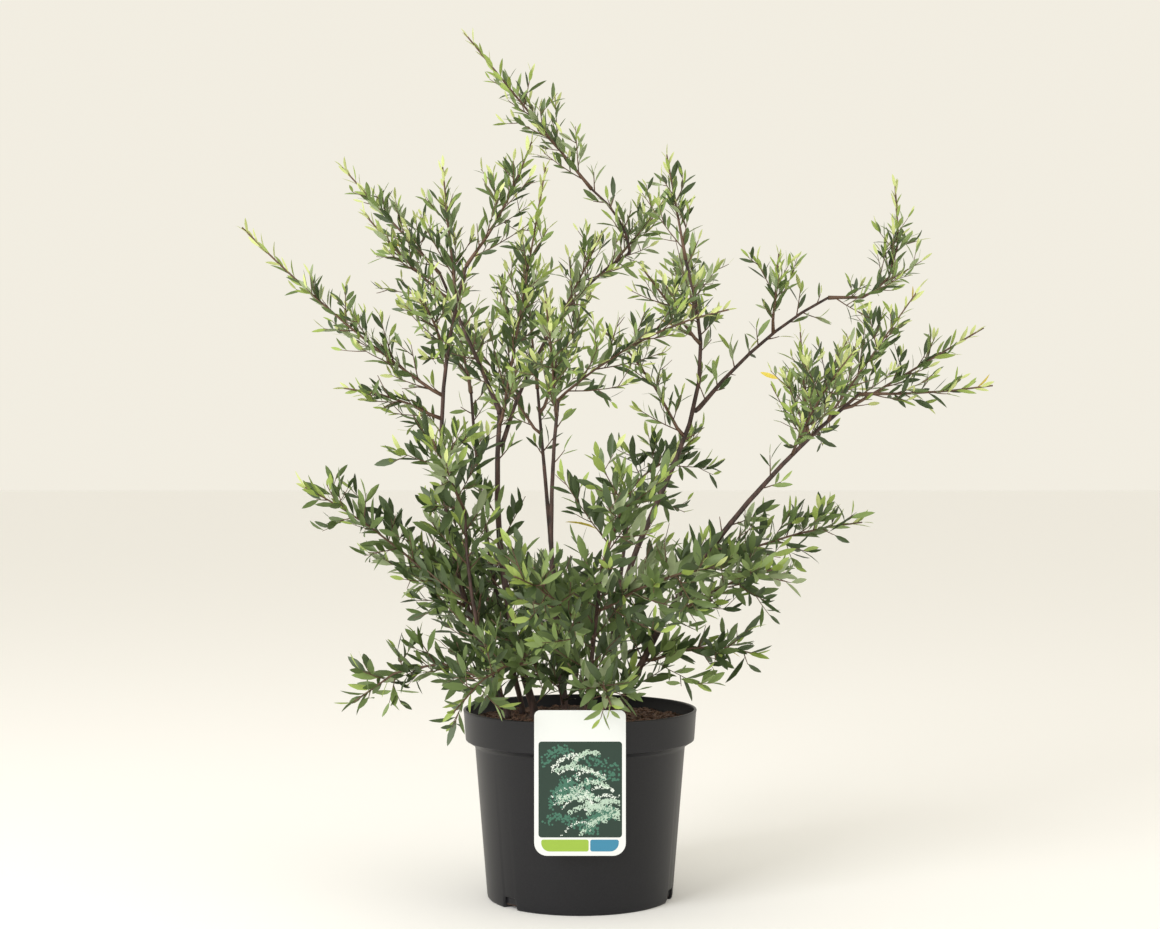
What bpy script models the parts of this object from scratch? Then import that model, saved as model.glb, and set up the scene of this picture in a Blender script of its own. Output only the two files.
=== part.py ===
"""Potted summer spirea: a young many-stemmed shrub in a five-litre nursery pot.

The stems rise from the compost, the boughs leave the stems, and every shoot with its leaves
is one foliage mass that keeps to its own space. Metres, +Z up, origin at the middle of the
pot's flat underside, front of the pot at -Y. The tables below are in millimetres.
"""

import math
import random

import bmesh
import bpy
import numpy as np
from mathutils import Matrix, Vector

MM = 0.001
GAP = 0.3

# Pot, millimetres
POT_HEIGHT = 185.0
RIM_RADIUS = 115.0
COLLAR_FOOT_RADIUS = 112.6
COLLAR_HEIGHT = 30.0
SHOULDER_DROP = 6.5
BODY_RADIUS = 103.4
FOOT_RADIUS = 91.3
FOOT_EDGE = 2.5
WALL = 2.0
FLOOR = 3.0
TURN_STEPS = 32

# Drain notches cut up into the foot of the pot
NOTCH_COMPASS = (-137.0, -17.0, 103.0)
NOTCH_WIDTH = 17.0
NOTCH_TOP_WIDTH = 12.0
NOTCH_HEIGHT = 11.0
NOTCH_INNER_RADIUS = 84.0

# Compost in the pot
SOIL_LEVEL = 173.0

# Plant label: a card in front of the collar, with a strap that hooks over the rim
CARD_WIDTH = 85.0
CARD_TOP = 197.0
CARD_BOTTOM = 62.0
CARD_THICK = 0.7
CARD_TOP_CORNER = 5.5
CARD_BOTTOM_CORNER = 12.0
STRAP_WIDTH = 24.0
STRAP_THICK = 0.9

# Leaves are larger than life and fewer, so that the crown is not thin
LEAF_LENGTH = 50.0
LEAF_WIDTH = 15.0
LEAF_THICK = 1.5
LEAF_GAP = 5.6
LEAF_STEP = 21.5
LEAF_TRIES = 3
SHOOT_LEAF_SPREAD = math.radians(42.0)
TWIG_LEAF_SPREAD = math.radians(46.0)
TIP_LEAF_SHARE = 0.60
TIP_LEAF_SUNK = 4.0
LIFT = 0.12

# Twigs and the shoot that carries them, half thicknesses
TWIG_STEP = 54.0
TWIG_SPREAD = math.radians(44.0)
TWIG_LEAF_STEP = 16.0
TWIG_RADIUS = 1.0
TWIG_TIP_RADIUS = 0.55
SHORTEST_TWIG = 14.0
SHOOT_RADIUS = 1.5
SHOOT_TIP_RADIUS = 0.8
GOLDEN_ANGLE = math.radians(137.508)

# Clearances between a mass and its neighbours, and the first seed of the masses' dice
SPACE_GAP = 1.6
LIMB_GAP = 1.2
SEED = 41

# Stems: foot on the compost (x, y), tip, bow at mid-height, sway, thickness at foot and tip
STEMS = {
    "stem_left": ((-72, 5), (-111, -25, 618), (-42, 0, 0), (0, 0, 0), 6.4, 3.0),
    "stem_left_low": ((-76, -32), (-111, -45, 378), (-8, 0, 0), (0, 0, 0), 4.8, 2.8),
    "stem_inner_left": ((-58, 36), (-110, 45, 497), (-8, 0, 0), (0, 0, 0), 5.2, 2.8),
    "stem_thick": ((-45, 0), (-79, 0, 475), (-15, 0, 0), (0, 0, 0), 8.0, 4.6),
    "stem_centre": ((-14, -35), (-21, -50, 487), (-10, 0, 0), (0, 0, 0), 6.0, 3.2),
    "stem_right": ((28, 16), (105, 10, 628), (18, 0, 0), (-20, 0, 0), 7.2, 3.0),
    "stem_far_right": ((38, -12), (275, 0, 494), (-22, 0, 12), (0, 0, 0), 7.4, 3.4),
    "stem_back": ((-15, 50), (-45, 140, 505), (0, -12, 0), (0, 0, 0), 6.0, 3.0),
    "stem_back_right": ((25, 56), (55, 160, 400), (0, -10, 0), (0, 0, 0), 5.6, 3.0),
    "stem_front": ((5, -62), (20, -130, 330), (0, 8, 0), (0, 0, 0), 5.2, 2.8),
}

# Boughs: carrier, share of the way up it, tip, bow, thickness at root and tip
BOUGHS = {
    "bough_left_leader": ("stem_thick", 1.0, (-141, 40, 617), (0, 0, 0), 4.2, 2.8),
    "bough_diagonal": ("stem_thick", 0.90, (50, 70, 641), (-12, 0, 22), 4.0, 2.6),
    "bough_top_leader": ("bough_diagonal", 1.0, (12, 66, 706), (8, 0, 2), 2.6, 2.4),
    "bough_right_reach": ("stem_right", 0.68, (250, 40, 593), (0, 0, 12), 4.0, 2.6),
}

# Foliage masses: carrier, share of the way up it, furthest leaf tip, bow, reach of the space
MASSES = {
    "leaves_far_left": ("stem_left", 0.72, (-330, -60, 658), (0, 0, -8), 42),
    "leaves_left_shelf": ("stem_left", 0.67, (-236, -52, 500), (0, 0, 6), 42),
    "leaves_left_leader": ("bough_left_leader", 1.0, (-248, 60, 734), (-4, 0, 4), 46),
    "leaves_second_left": ("bough_left_leader", 0.80, (-218, -8, 678), (0, 0, -4), 46),
    "leaves_left_up": ("stem_left", 1.0, (-44, -10, 750), (4, 0, -6), 52),
    "leaves_upper_left": ("stem_left", 0.93, (-138, 22, 730), (0, 0, 0), 52),
    "leaves_middle": ("stem_thick", 0.96, (-31, -75, 716), (0, 0, 0), 60),
    "leaves_top": ("bough_top_leader", 1.0, (-121, 10, 861), (0, 0, 0), 40),
    "leaves_diagonal_tip": ("bough_diagonal", 0.93, (85, 125, 694), (0, 0, 0), 56),
    "leaves_crown_right": ("bough_diagonal", 0.60, (24, -30, 655), (0, 0, 0), 58),
    "leaves_crown_front": ("stem_centre", 0.95, (-31, -200, 575), (0, 0, 10), 58),
    "leaves_front_left": ("stem_left", 0.80, (-145, -180, 575), (0, 0, 8), 56),
    "leaves_back_up": ("stem_back", 1.0, (-65, 205, 680), (0, 0, 0), 60),
    "leaves_back_left": ("stem_back", 0.85, (-160, 220, 605), (0, 0, 8), 56),
    "leaves_back_right": ("stem_back", 0.92, (15, 245, 622), (0, 0, 8), 56),
    "leaves_inner_left": ("stem_inner_left", 1.0, (-134, 112, 606), (0, 0, 0), 60),
    "leaves_right_top": ("stem_right", 1.0, (84, 0, 740), (0, 0, 0), 48),
    "leaves_gap_left": ("stem_right", 0.62, (16, -20, 562), (0, 0, 15), 34),
    "leaves_right_inner": ("stem_right", 0.82, (55, -80, 616), (0, 0, 0), 52),
    "leaves_right_back": ("stem_right", 0.88, (100, 160, 645), (0, 0, 6), 56),
    "leaves_centre_right": ("stem_centre", 1.0, (147, -112, 572), (0, 0, 14), 58),
    "leaves_right_reach": ("bough_right_reach", 1.0, (323, 70, 719), (27, 0, -38), 46),
    "leaves_reach_upright": ("bough_right_reach", 0.62, (197, 0, 642), (0, 0, 0), 46),
    "leaves_far_right_low": ("stem_far_right", 1.0, (412, -22, 503), (0, 0, -3), 36),
    "leaves_far_right_high": ("stem_far_right", 0.95, (411, 24, 566), (0, 0, 0), 40),
    "leaves_head_high": ("stem_far_right", 0.90, (330, -52, 600), (0, 0, 0), 54),
    "leaves_head_left": ("stem_far_right", 0.84, (213, -34, 562), (0, 0, 0), 54),
    "leaves_head_front": ("stem_far_right", 0.78, (250, -155, 530), (0, 0, 8), 50),
    "leaves_head_back": ("stem_far_right", 0.81, (285, 140, 560), (0, 0, 8), 50),
    "leaves_left_mid": ("stem_left", 0.26, (-270, -62, 408), (0, 0, 10), 42),
    "leaves_left_low_tip": ("stem_left_low", 1.0, (-140, -110, 455), (0, 0, 0), 64),
    "leaves_right_mid": ("stem_far_right", 0.42, (294, 52, 368), (0, 0, 8), 44),
    "leaves_front_up": ("stem_front", 1.0, (48, -195, 418), (0, 0, 0), 68),
    "leaves_front_mid": ("stem_front", 0.55, (-62, -222, 330), (0, 0, 8), 68),
    "leaves_front_right": ("stem_front", 0.72, (128, -185, 335), (0, 0, 8), 68),
    "leaves_back_mid": ("stem_back_right", 1.0, (122, 250, 440), (0, 0, 6), 62),
    "leaves_low_back": ("stem_back", 0.22, (-30, 225, 290), (0, 0, 10), 64),
    "leaves_low_back_left": ("stem_inner_left", 0.34, (-172, 170, 300), (0, 0, 8), 64),
    "leaves_low_left": ("stem_left_low", 0.22, (-228, -42, 190), (0, 0, 26), 46),
    "leaves_low_front_left": ("stem_centre", 0.16, (-120, -165, 196), (0, 0, 26), 60),
    "leaves_rim_front": ("stem_front", 0.16, (30, -178, 205), (0, 0, 20), 50),
    "leaves_low_right": ("stem_far_right", 0.16, (180, -38, 240), (0, 0, 12), 56),
    "leaves_low_right_front": ("stem_far_right", 0.27, (190, -100, 330), (0, 0, 8), 66),
}


def colour_material(name, colour, roughness, metallic=0.0):
    """A Principled material with one colour."""
    material = bpy.data.materials.new(name)
    material.use_nodes = True
    shader = material.node_tree.nodes["Principled BSDF"]
    shader.inputs["Base Color"].default_value = (*colour, 1.0)
    shader.inputs["Roughness"].default_value = roughness
    shader.inputs["Metallic"].default_value = metallic
    material.diffuse_color = (*colour, 1.0)
    return material


def new_collection(name):
    """A collection under the scene's own."""
    collection = bpy.data.collections.new(name)
    bpy.context.scene.collection.children.link(collection)
    return collection


def link_mesh(name, mesh, material, collection):
    """Put a finished mesh in the scene as one object."""
    piece = bpy.data.objects.new(name, mesh)
    mesh.materials.clear()
    mesh.materials.append(material)
    collection.objects.link(piece)
    return piece


def evaluated_mesh(piece):
    """The mesh of an object with its modifiers or bevel worked out."""
    depsgraph = bpy.context.evaluated_depsgraph_get()
    return bpy.data.meshes.new_from_object(piece.evaluated_get(depsgraph))


def turned(name, profile, material, collection):
    """Turn a profile, given as (radius, height) in millimetres, about Z with Screw."""
    mesh = bpy.data.meshes.new(name)
    points = [(radius * MM, 0.0, height * MM) for radius, height in profile]
    edges = [(i, i + 1) for i in range(len(points) - 1)]
    mesh.from_pydata(points, edges, [])
    piece = link_mesh(name, mesh, material, collection)
    screw = piece.modifiers.new("turn", "SCREW")
    screw.steps = TURN_STEPS
    screw.render_steps = TURN_STEPS
    screw.use_merge_vertices = True
    screw.merge_threshold = 0.00001
    return piece


def cut(piece, cutter):
    """Take the cutter's shape out of a piece."""
    boolean = piece.modifiers.new("cut_" + cutter.name, "BOOLEAN")
    boolean.operation = "DIFFERENCE"
    boolean.object = cutter


def make_pot(material, collection, cutters):
    """The pot: a turned wall with a stepped collar, a flat floor and three drain notches."""
    collar_foot = POT_HEIGHT - COLLAR_HEIGHT
    shoulder = collar_foot - SHOULDER_DROP
    profile = [
        (0.0, FLOOR),
        (FOOT_RADIUS - WALL, FLOOR),
        (BODY_RADIUS - WALL, shoulder),
        (COLLAR_FOOT_RADIUS - WALL, collar_foot),
        (RIM_RADIUS - 1.5 * WALL, POT_HEIGHT - 1.5),
        (RIM_RADIUS - WALL, POT_HEIGHT),
        (RIM_RADIUS - 0.6, POT_HEIGHT),
        (RIM_RADIUS, POT_HEIGHT - 1.0),
        (COLLAR_FOOT_RADIUS, collar_foot),
        (BODY_RADIUS, shoulder),
        (FOOT_RADIUS, FOOT_EDGE),
        (FOOT_RADIUS - 1.0, 0.0),
        (0.0, 0.0),
    ]
    pot = turned("pot", profile, material, collection)
    for number, compass in enumerate(NOTCH_COMPASS):
        cut(pot, make_notch(number, math.radians(compass), cutters))
    return pot


def make_notch(number, compass, cutters):
    """A wedge that is narrower at the top and runs out past the foot of the pot."""
    outer = FOOT_RADIUS + 6.0
    depth = outer - NOTCH_INNER_RADIUS
    bm = bmesh.new()
    bmesh.ops.create_cube(bm, size=1.0)
    for vert in bm.verts:
        width = NOTCH_TOP_WIDTH if vert.co.z > 0 else NOTCH_WIDTH
        vert.co = Vector((vert.co.x * depth, vert.co.y * width, vert.co.z * 2.0 * NOTCH_HEIGHT)) * MM
    mesh = bpy.data.meshes.new(f"notch_{number}")
    bm.to_mesh(mesh)
    bm.free()
    notch = bpy.data.objects.new(f"notch_{number}", mesh)
    middle = (outer + NOTCH_INNER_RADIUS) / 2.0
    notch.location = Vector((middle * math.cos(compass), middle * math.sin(compass), 0.0)) * MM
    notch.rotation_euler = (0.0, 0.0, compass)
    notch.hide_render = True
    notch.display_type = "WIRE"
    cutters.objects.link(notch)
    return notch


def make_soil(material, collection):
    """The compost, a solid plug that follows the inside of the pot a hair's breadth clear."""
    collar_foot = POT_HEIGHT - COLLAR_HEIGHT
    shoulder = collar_foot - SHOULDER_DROP
    inset = WALL + 2.0 * GAP
    collar_rise = (SOIL_LEVEL - collar_foot) / COLLAR_HEIGHT
    top_radius = COLLAR_FOOT_RADIUS + (RIM_RADIUS - COLLAR_FOOT_RADIUS) * collar_rise
    profile = [
        (0.0, SOIL_LEVEL),
        (top_radius - 1.5 * WALL - 2.0 * GAP, SOIL_LEVEL),
        (COLLAR_FOOT_RADIUS - inset, collar_foot + GAP),
        (BODY_RADIUS - inset, shoulder + GAP),
        (FOOT_RADIUS - inset, FLOOR + GAP),
        (0.0, FLOOR + GAP),
    ]
    return turned("soil", profile, material, collection)


def rounded_card(bm, front, thick):
    """A card with round corners, upright in the XZ plane, its front face at y = front."""
    half = CARD_WIDTH / 2.0
    corners = (
        (half - CARD_TOP_CORNER, CARD_TOP - CARD_TOP_CORNER, CARD_TOP_CORNER, 0.0),
        (-half + CARD_TOP_CORNER, CARD_TOP - CARD_TOP_CORNER, CARD_TOP_CORNER, 90.0),
        (-half + CARD_BOTTOM_CORNER, CARD_BOTTOM + CARD_BOTTOM_CORNER, CARD_BOTTOM_CORNER, 180.0),
        (half - CARD_BOTTOM_CORNER, CARD_BOTTOM + CARD_BOTTOM_CORNER, CARD_BOTTOM_CORNER, 270.0),
    )
    outline = []
    for x, z, radius, first in corners:
        for turn in (0.0, 30.0, 60.0, 90.0):
            angle = math.radians(first + turn)
            place = Vector((x + radius * math.cos(angle), front, z + radius * math.sin(angle)))
            outline.append(bm.verts.new(place * MM))
    face = bm.faces.new(outline)
    grown = bmesh.ops.extrude_face_region(bm, geom=[face])
    moved = [item for item in grown["geom"] if isinstance(item, bmesh.types.BMVert)]
    bmesh.ops.translate(bm, verts=moved, vec=(0.0, thick * MM, 0.0))
    bmesh.ops.recalc_face_normals(bm, faces=bm.faces)


def block(bm, low, high):
    """A box between two corners, in millimetres."""
    size = Vector(high) - Vector(low)
    middle = (Vector(high) + Vector(low)) / 2.0
    matrix = Matrix.Translation(middle * MM) @ Matrix.Diagonal((*(size * MM), 1.0))
    bmesh.ops.create_cube(bm, size=1.0, matrix=matrix)


def make_label(material, collection):
    """The card, its strap over the rim and the tongue inside it, joined in one piece."""
    back = -RIM_RADIUS - GAP
    front = back - CARD_THICK
    half = STRAP_WIDTH / 2.0
    strap_under = POT_HEIGHT + GAP
    inner = GAP - math.sqrt((COLLAR_FOOT_RADIUS - WALL) ** 2 - half ** 2)
    bits = new_collection("label_bits")
    boxes = (
        ((-half, back - 0.4, strap_under), (half, inner + STRAP_THICK, strap_under + STRAP_THICK)),
        ((-half, inner, SOIL_LEVEL + GAP), (half, inner + STRAP_THICK, strap_under + 0.4)),
    )
    for number, (low, high) in enumerate(boxes):
        bm = bmesh.new()
        block(bm, low, high)
        mesh = bpy.data.meshes.new(f"label_bit_{number}")
        bm.to_mesh(mesh)
        bm.free()
        link_mesh(f"label_bit_{number}", mesh, material, bits)
    bm = bmesh.new()
    rounded_card(bm, front, CARD_THICK)
    mesh = bpy.data.meshes.new("label")
    bm.to_mesh(mesh)
    bm.free()
    label = link_mesh("label", mesh, material, collection)
    fuse(label, bits)
    return label


def fuse(body, bits):
    """Join a collection of closed pieces onto a body, and keep the one joined solid."""
    union = body.modifiers.new("union", "BOOLEAN")
    union.operation = "UNION"
    union.operand_type = "COLLECTION"
    union.collection = bits
    joined = evaluated_mesh(body)
    material = body.data.materials[0]
    body.modifiers.clear()
    body.data = joined
    joined.materials.clear()
    joined.materials.append(material)
    keep_main_body(joined)
    for piece in list(bits.objects):
        bpy.data.objects.remove(piece)
    bpy.data.collections.remove(bits)


def keep_main_body(mesh):
    """Drop loose scraps and the walls of sealed hollows: only the largest shell stays."""
    bm = bmesh.new()
    bm.from_mesh(mesh)
    bmesh.ops.triangulate(bm, faces=bm.faces)
    unseen = set(bm.faces)
    shells = []
    while unseen:
        shell = {unseen.pop()}
        edge_of_search = list(shell)
        while edge_of_search:
            face = edge_of_search.pop()
            near = {other for edge in face.edges for other in edge.link_faces}
            fresh = near & unseen
            unseen -= fresh
            shell |= fresh
            edge_of_search.extend(fresh)
        shells.append(shell)
    shells.sort(key=len)
    for shell in shells[:-1]:
        bmesh.ops.delete(bm, geom=list(shell), context="FACES")
    bm.to_mesh(mesh)
    bm.free()


def arched(start, tip, bow, sway, steps):
    """Points from start to tip on a parabola pushed out by bow, with sway as one full wave."""
    share = np.linspace(0.0, 1.0, steps + 1)[:, None]
    start, tip, bow, sway = (np.array(item, dtype=float) for item in (start, tip, bow, sway))
    line = start + (tip - start) * share
    return line + bow * 4.0 * share * (1.0 - share) + sway * np.sin(2.0 * np.pi * share)


def path_at(path, share):
    """Point and heading at a share of a path's length."""
    lengths = np.linalg.norm(np.diff(path, axis=0), axis=1)
    ends = np.concatenate(([0.0], np.cumsum(lengths)))
    place = share * ends[-1]
    index = min(int(np.searchsorted(ends, place, side="right")) - 1, len(lengths) - 1)
    part = (place - ends[index]) / lengths[index]
    point = path[index] + (path[index + 1] - path[index]) * part
    return point, (path[index + 1] - path[index]) / lengths[index]


def radius_at(shape, share):
    """Half thickness of a limb at a share of its length."""
    lengths = np.linalg.norm(np.diff(shape["path"], axis=0), axis=1)
    ends = np.concatenate(([0.0], np.cumsum(lengths)))
    return float(np.interp(share * ends[-1], ends, shape["radii"]))


def seat(carrier, share, tip, radius):
    """The place where a limb of this radius starts, a gap clear of the carrier's bark.

    On the carrier's tip it stands off along the heading by the sine of the bend, and on its
    side it stands off square to the carrier by the cosine, because its end is cut square.
    """
    point, heading = path_at(carrier["path"], share)
    aim = np.array(tip, dtype=float) - point
    aim /= np.linalg.norm(aim)
    along = float(aim @ heading)
    if share >= 1.0:
        bend = math.sqrt(max(0.0, 1.0 - along * along))
        return point + heading * (GAP + radius * bend)
    side = aim - heading * along
    side /= np.linalg.norm(side)
    bark = radius_at(carrier, share)
    return point + side * (bark + GAP + radius * abs(along))


def limb(path, first_radius, last_radius):
    """A limb is its path with a radius at each point, both in millimetres."""
    path = np.array(path)
    lengths = np.linalg.norm(np.diff(path, axis=0), axis=1)
    share = np.concatenate(([0.0], np.cumsum(lengths))) / lengths.sum()
    return {"path": path, "radii": first_radius + (last_radius - first_radius) * share}


def tube(name, shape, resolution, material, collection):
    """A tapering tube along a limb's path, from a bevelled curve with welded end caps."""
    curve = bpy.data.curves.new(name, "CURVE")
    curve.dimensions = "3D"
    curve.bevel_depth = MM
    curve.bevel_resolution = resolution
    curve.use_fill_caps = True
    spline = curve.splines.new("POLY")
    spline.points.add(len(shape["path"]) - 1)
    for point, place, radius in zip(spline.points, shape["path"], shape["radii"]):
        point.co = (*(place * MM), 1.0)
        point.radius = radius
    guide = bpy.data.objects.new(name + "_guide", curve)
    collection.objects.link(guide)
    mesh = evaluated_mesh(guide)
    bpy.data.objects.remove(guide)
    bm = bmesh.new()
    bm.from_mesh(mesh)
    bmesh.ops.remove_doubles(bm, verts=bm.verts, dist=0.000001)
    bmesh.ops.recalc_face_normals(bm, faces=bm.faces)
    bm.to_mesh(mesh)
    bm.free()
    mesh.name = name
    return link_mesh(name, mesh, material, collection)


def plan_limbs():
    """Work out every stem and bough, each from its carrier's bark to its tip."""
    limbs = {}
    foot_height = SOIL_LEVEL + GAP
    for name, (foot, tip, bow, sway, thick, thin) in STEMS.items():
        foot_point = np.array((*foot, foot_height), dtype=float)
        collar = foot_point + (0.0, 0.0, 8.0)
        steps = max(5, round((tip[2] - foot_height) / 42.0))
        path = np.vstack((foot_point, arched(collar, tip, bow, sway, steps)))
        shape = limb(path, thick / 2.0, thin / 2.0)
        shape["radii"][0] *= 1.35
        shape["radii"][1] *= 1.08
        limbs[name] = shape
    for name, (carrier, share, tip, bow, thick, thin) in BOUGHS.items():
        start = seat(limbs[carrier], share, np.array(tip) + 2.0 * np.array(bow), thick / 2.0)
        steps = max(4, round(np.linalg.norm(np.array(tip) - start) / 36.0))
        path = arched(start, tip, bow, (0, 0, 0), steps)
        limbs[name] = limb(path, thick / 2.0, thin / 2.0)
    return limbs


def plan_shoots(limbs):
    """Work out the main shoot of every mass. Its last leaf reaches on to the mass's tip."""
    shoots = {}
    for name, (carrier, share, tip, bow, reach) in MASSES.items():
        start = seat(limbs[carrier], share, np.array(tip) + 2.0 * np.array(bow), SHOOT_RADIUS)
        tip = np.array(tip, dtype=float)
        heading = tip - (start + tip) / 2.0 - np.array(bow, dtype=float)
        heading /= np.linalg.norm(heading)
        end = tip - heading * LEAF_LENGTH * TIP_LEAF_SHARE * 0.9
        steps = max(3, round(np.linalg.norm(end - start) / 40.0))
        path = arched(start, end, bow, (0, 0, 0), steps)
        shoots[name] = limb(path, SHOOT_RADIUS, SHOOT_TIP_RADIUS)
        shoots[name]["reach"] = reach
    return shoots


class Spaces:
    """Tells whether a twig or leaf stays in its own mass's space and clear of every limb."""

    def __init__(self, limbs, shoots):
        self.limb_starts, self.limb_ends, self.limb_radii = self.pieces(limbs)[:3]
        self.starts, self.ends, _, self.owners = self.pieces(shoots)
        self.shoots = shoots
        self.taken = {name: [] for name in shoots}

    @staticmethod
    def pieces(shapes):
        """All straight pieces of a set of paths, with their thicker end and their owner."""
        starts = np.vstack([shape["path"][:-1] for shape in shapes.values()])
        ends = np.vstack([shape["path"][1:] for shape in shapes.values()])
        radii = np.concatenate([shape["radii"][:-1] for shape in shapes.values()])
        owners = [name for name, shape in shapes.items() for _ in shape["path"][1:]]
        return starts, ends, radii, np.array(owners)

    @staticmethod
    def distances(points, starts, ends):
        """Distance of each point to each straight piece."""
        run = ends - starts
        offset = points[:, None, :] - starts[None, :, :]
        share = (offset * run).sum(2) / (run * run).sum(1)
        nearest = starts + run * np.clip(share, 0.0, 1.0)[:, :, None]
        return np.linalg.norm(points[:, None, :] - nearest, axis=2)

    def holds(self, owner, points):
        """True where all points are in the owner's space, off the limbs and off the pot."""
        points = np.array(points)
        to_limbs = self.distances(points, self.limb_starts, self.limb_ends) - self.limb_radii
        if to_limbs.min() < LIMB_GAP:
            return False
        to_shoots = self.distances(points, self.starts, self.ends)
        own = to_shoots[:, self.owners == owner].min(1)
        other = to_shoots[:, self.owners != owner].min(1)
        if own.max() > self.shoots[owner]["reach"] or (other - own).min() < 2.0 * SPACE_GAP:
            return False
        return clear_of_pot(points)

    def free(self, owner, points):
        """True where these points keep off the twigs and leaves that the mass has so far."""
        if not self.taken[owner]:
            return True
        starts, ends = np.array(self.taken[owner]).transpose(1, 0, 2)
        return self.distances(np.array(points), starts, ends).min() > LEAF_GAP

    def take(self, owner, start, end):
        """Note the middle line of a twig or leaf that is in place."""
        self.taken[owner].append((np.array(start), np.array(end)))


def clear_of_pot(points):
    """True where all points are above the compost and clear of the rim and the label."""
    radius = np.hypot(points[:, 0], points[:, 1])
    height = points[:, 2]
    inside = (radius < RIM_RADIUS - 8.0) & (height > SOIL_LEVEL + 3.0)
    above = height > POT_HEIGHT + 4.0
    outside = (radius > RIM_RADIUS + 5.0) & (height > 0.75 * POT_HEIGHT)
    on_card = (np.abs(points[:, 0]) < CARD_WIDTH / 2.0 + 4.0) & (height < CARD_TOP + 4.0)
    on_card &= (points[:, 1] < -RIM_RADIUS + 10.0) & (points[:, 1] > -RIM_RADIUS - 5.0)
    return bool(np.all((inside | above | outside) & ~on_card))


def turned_side(heading, turn):
    """A direction square to a heading, turned about it from the level by an angle."""
    side = heading.cross(Vector((0.0, 0.0, 1.0)))
    side = side.normalized() if side.length > 0.05 else Vector((1.0, 0.0, 0.0))
    side.rotate(Matrix.Rotation(turn, 3, heading))
    return side


def leaving(path, share, turn, spread):
    """Where something leaves a path, and the way it points: spread out from the heading."""
    point, heading = path_at(path, share)
    heading = Vector(heading)
    side = turned_side(heading, turn)
    aim = heading * math.cos(spread) + side * math.sin(spread) + Vector((0.0, 0.0, LIFT))
    return Vector(point), aim.normalized()


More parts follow.
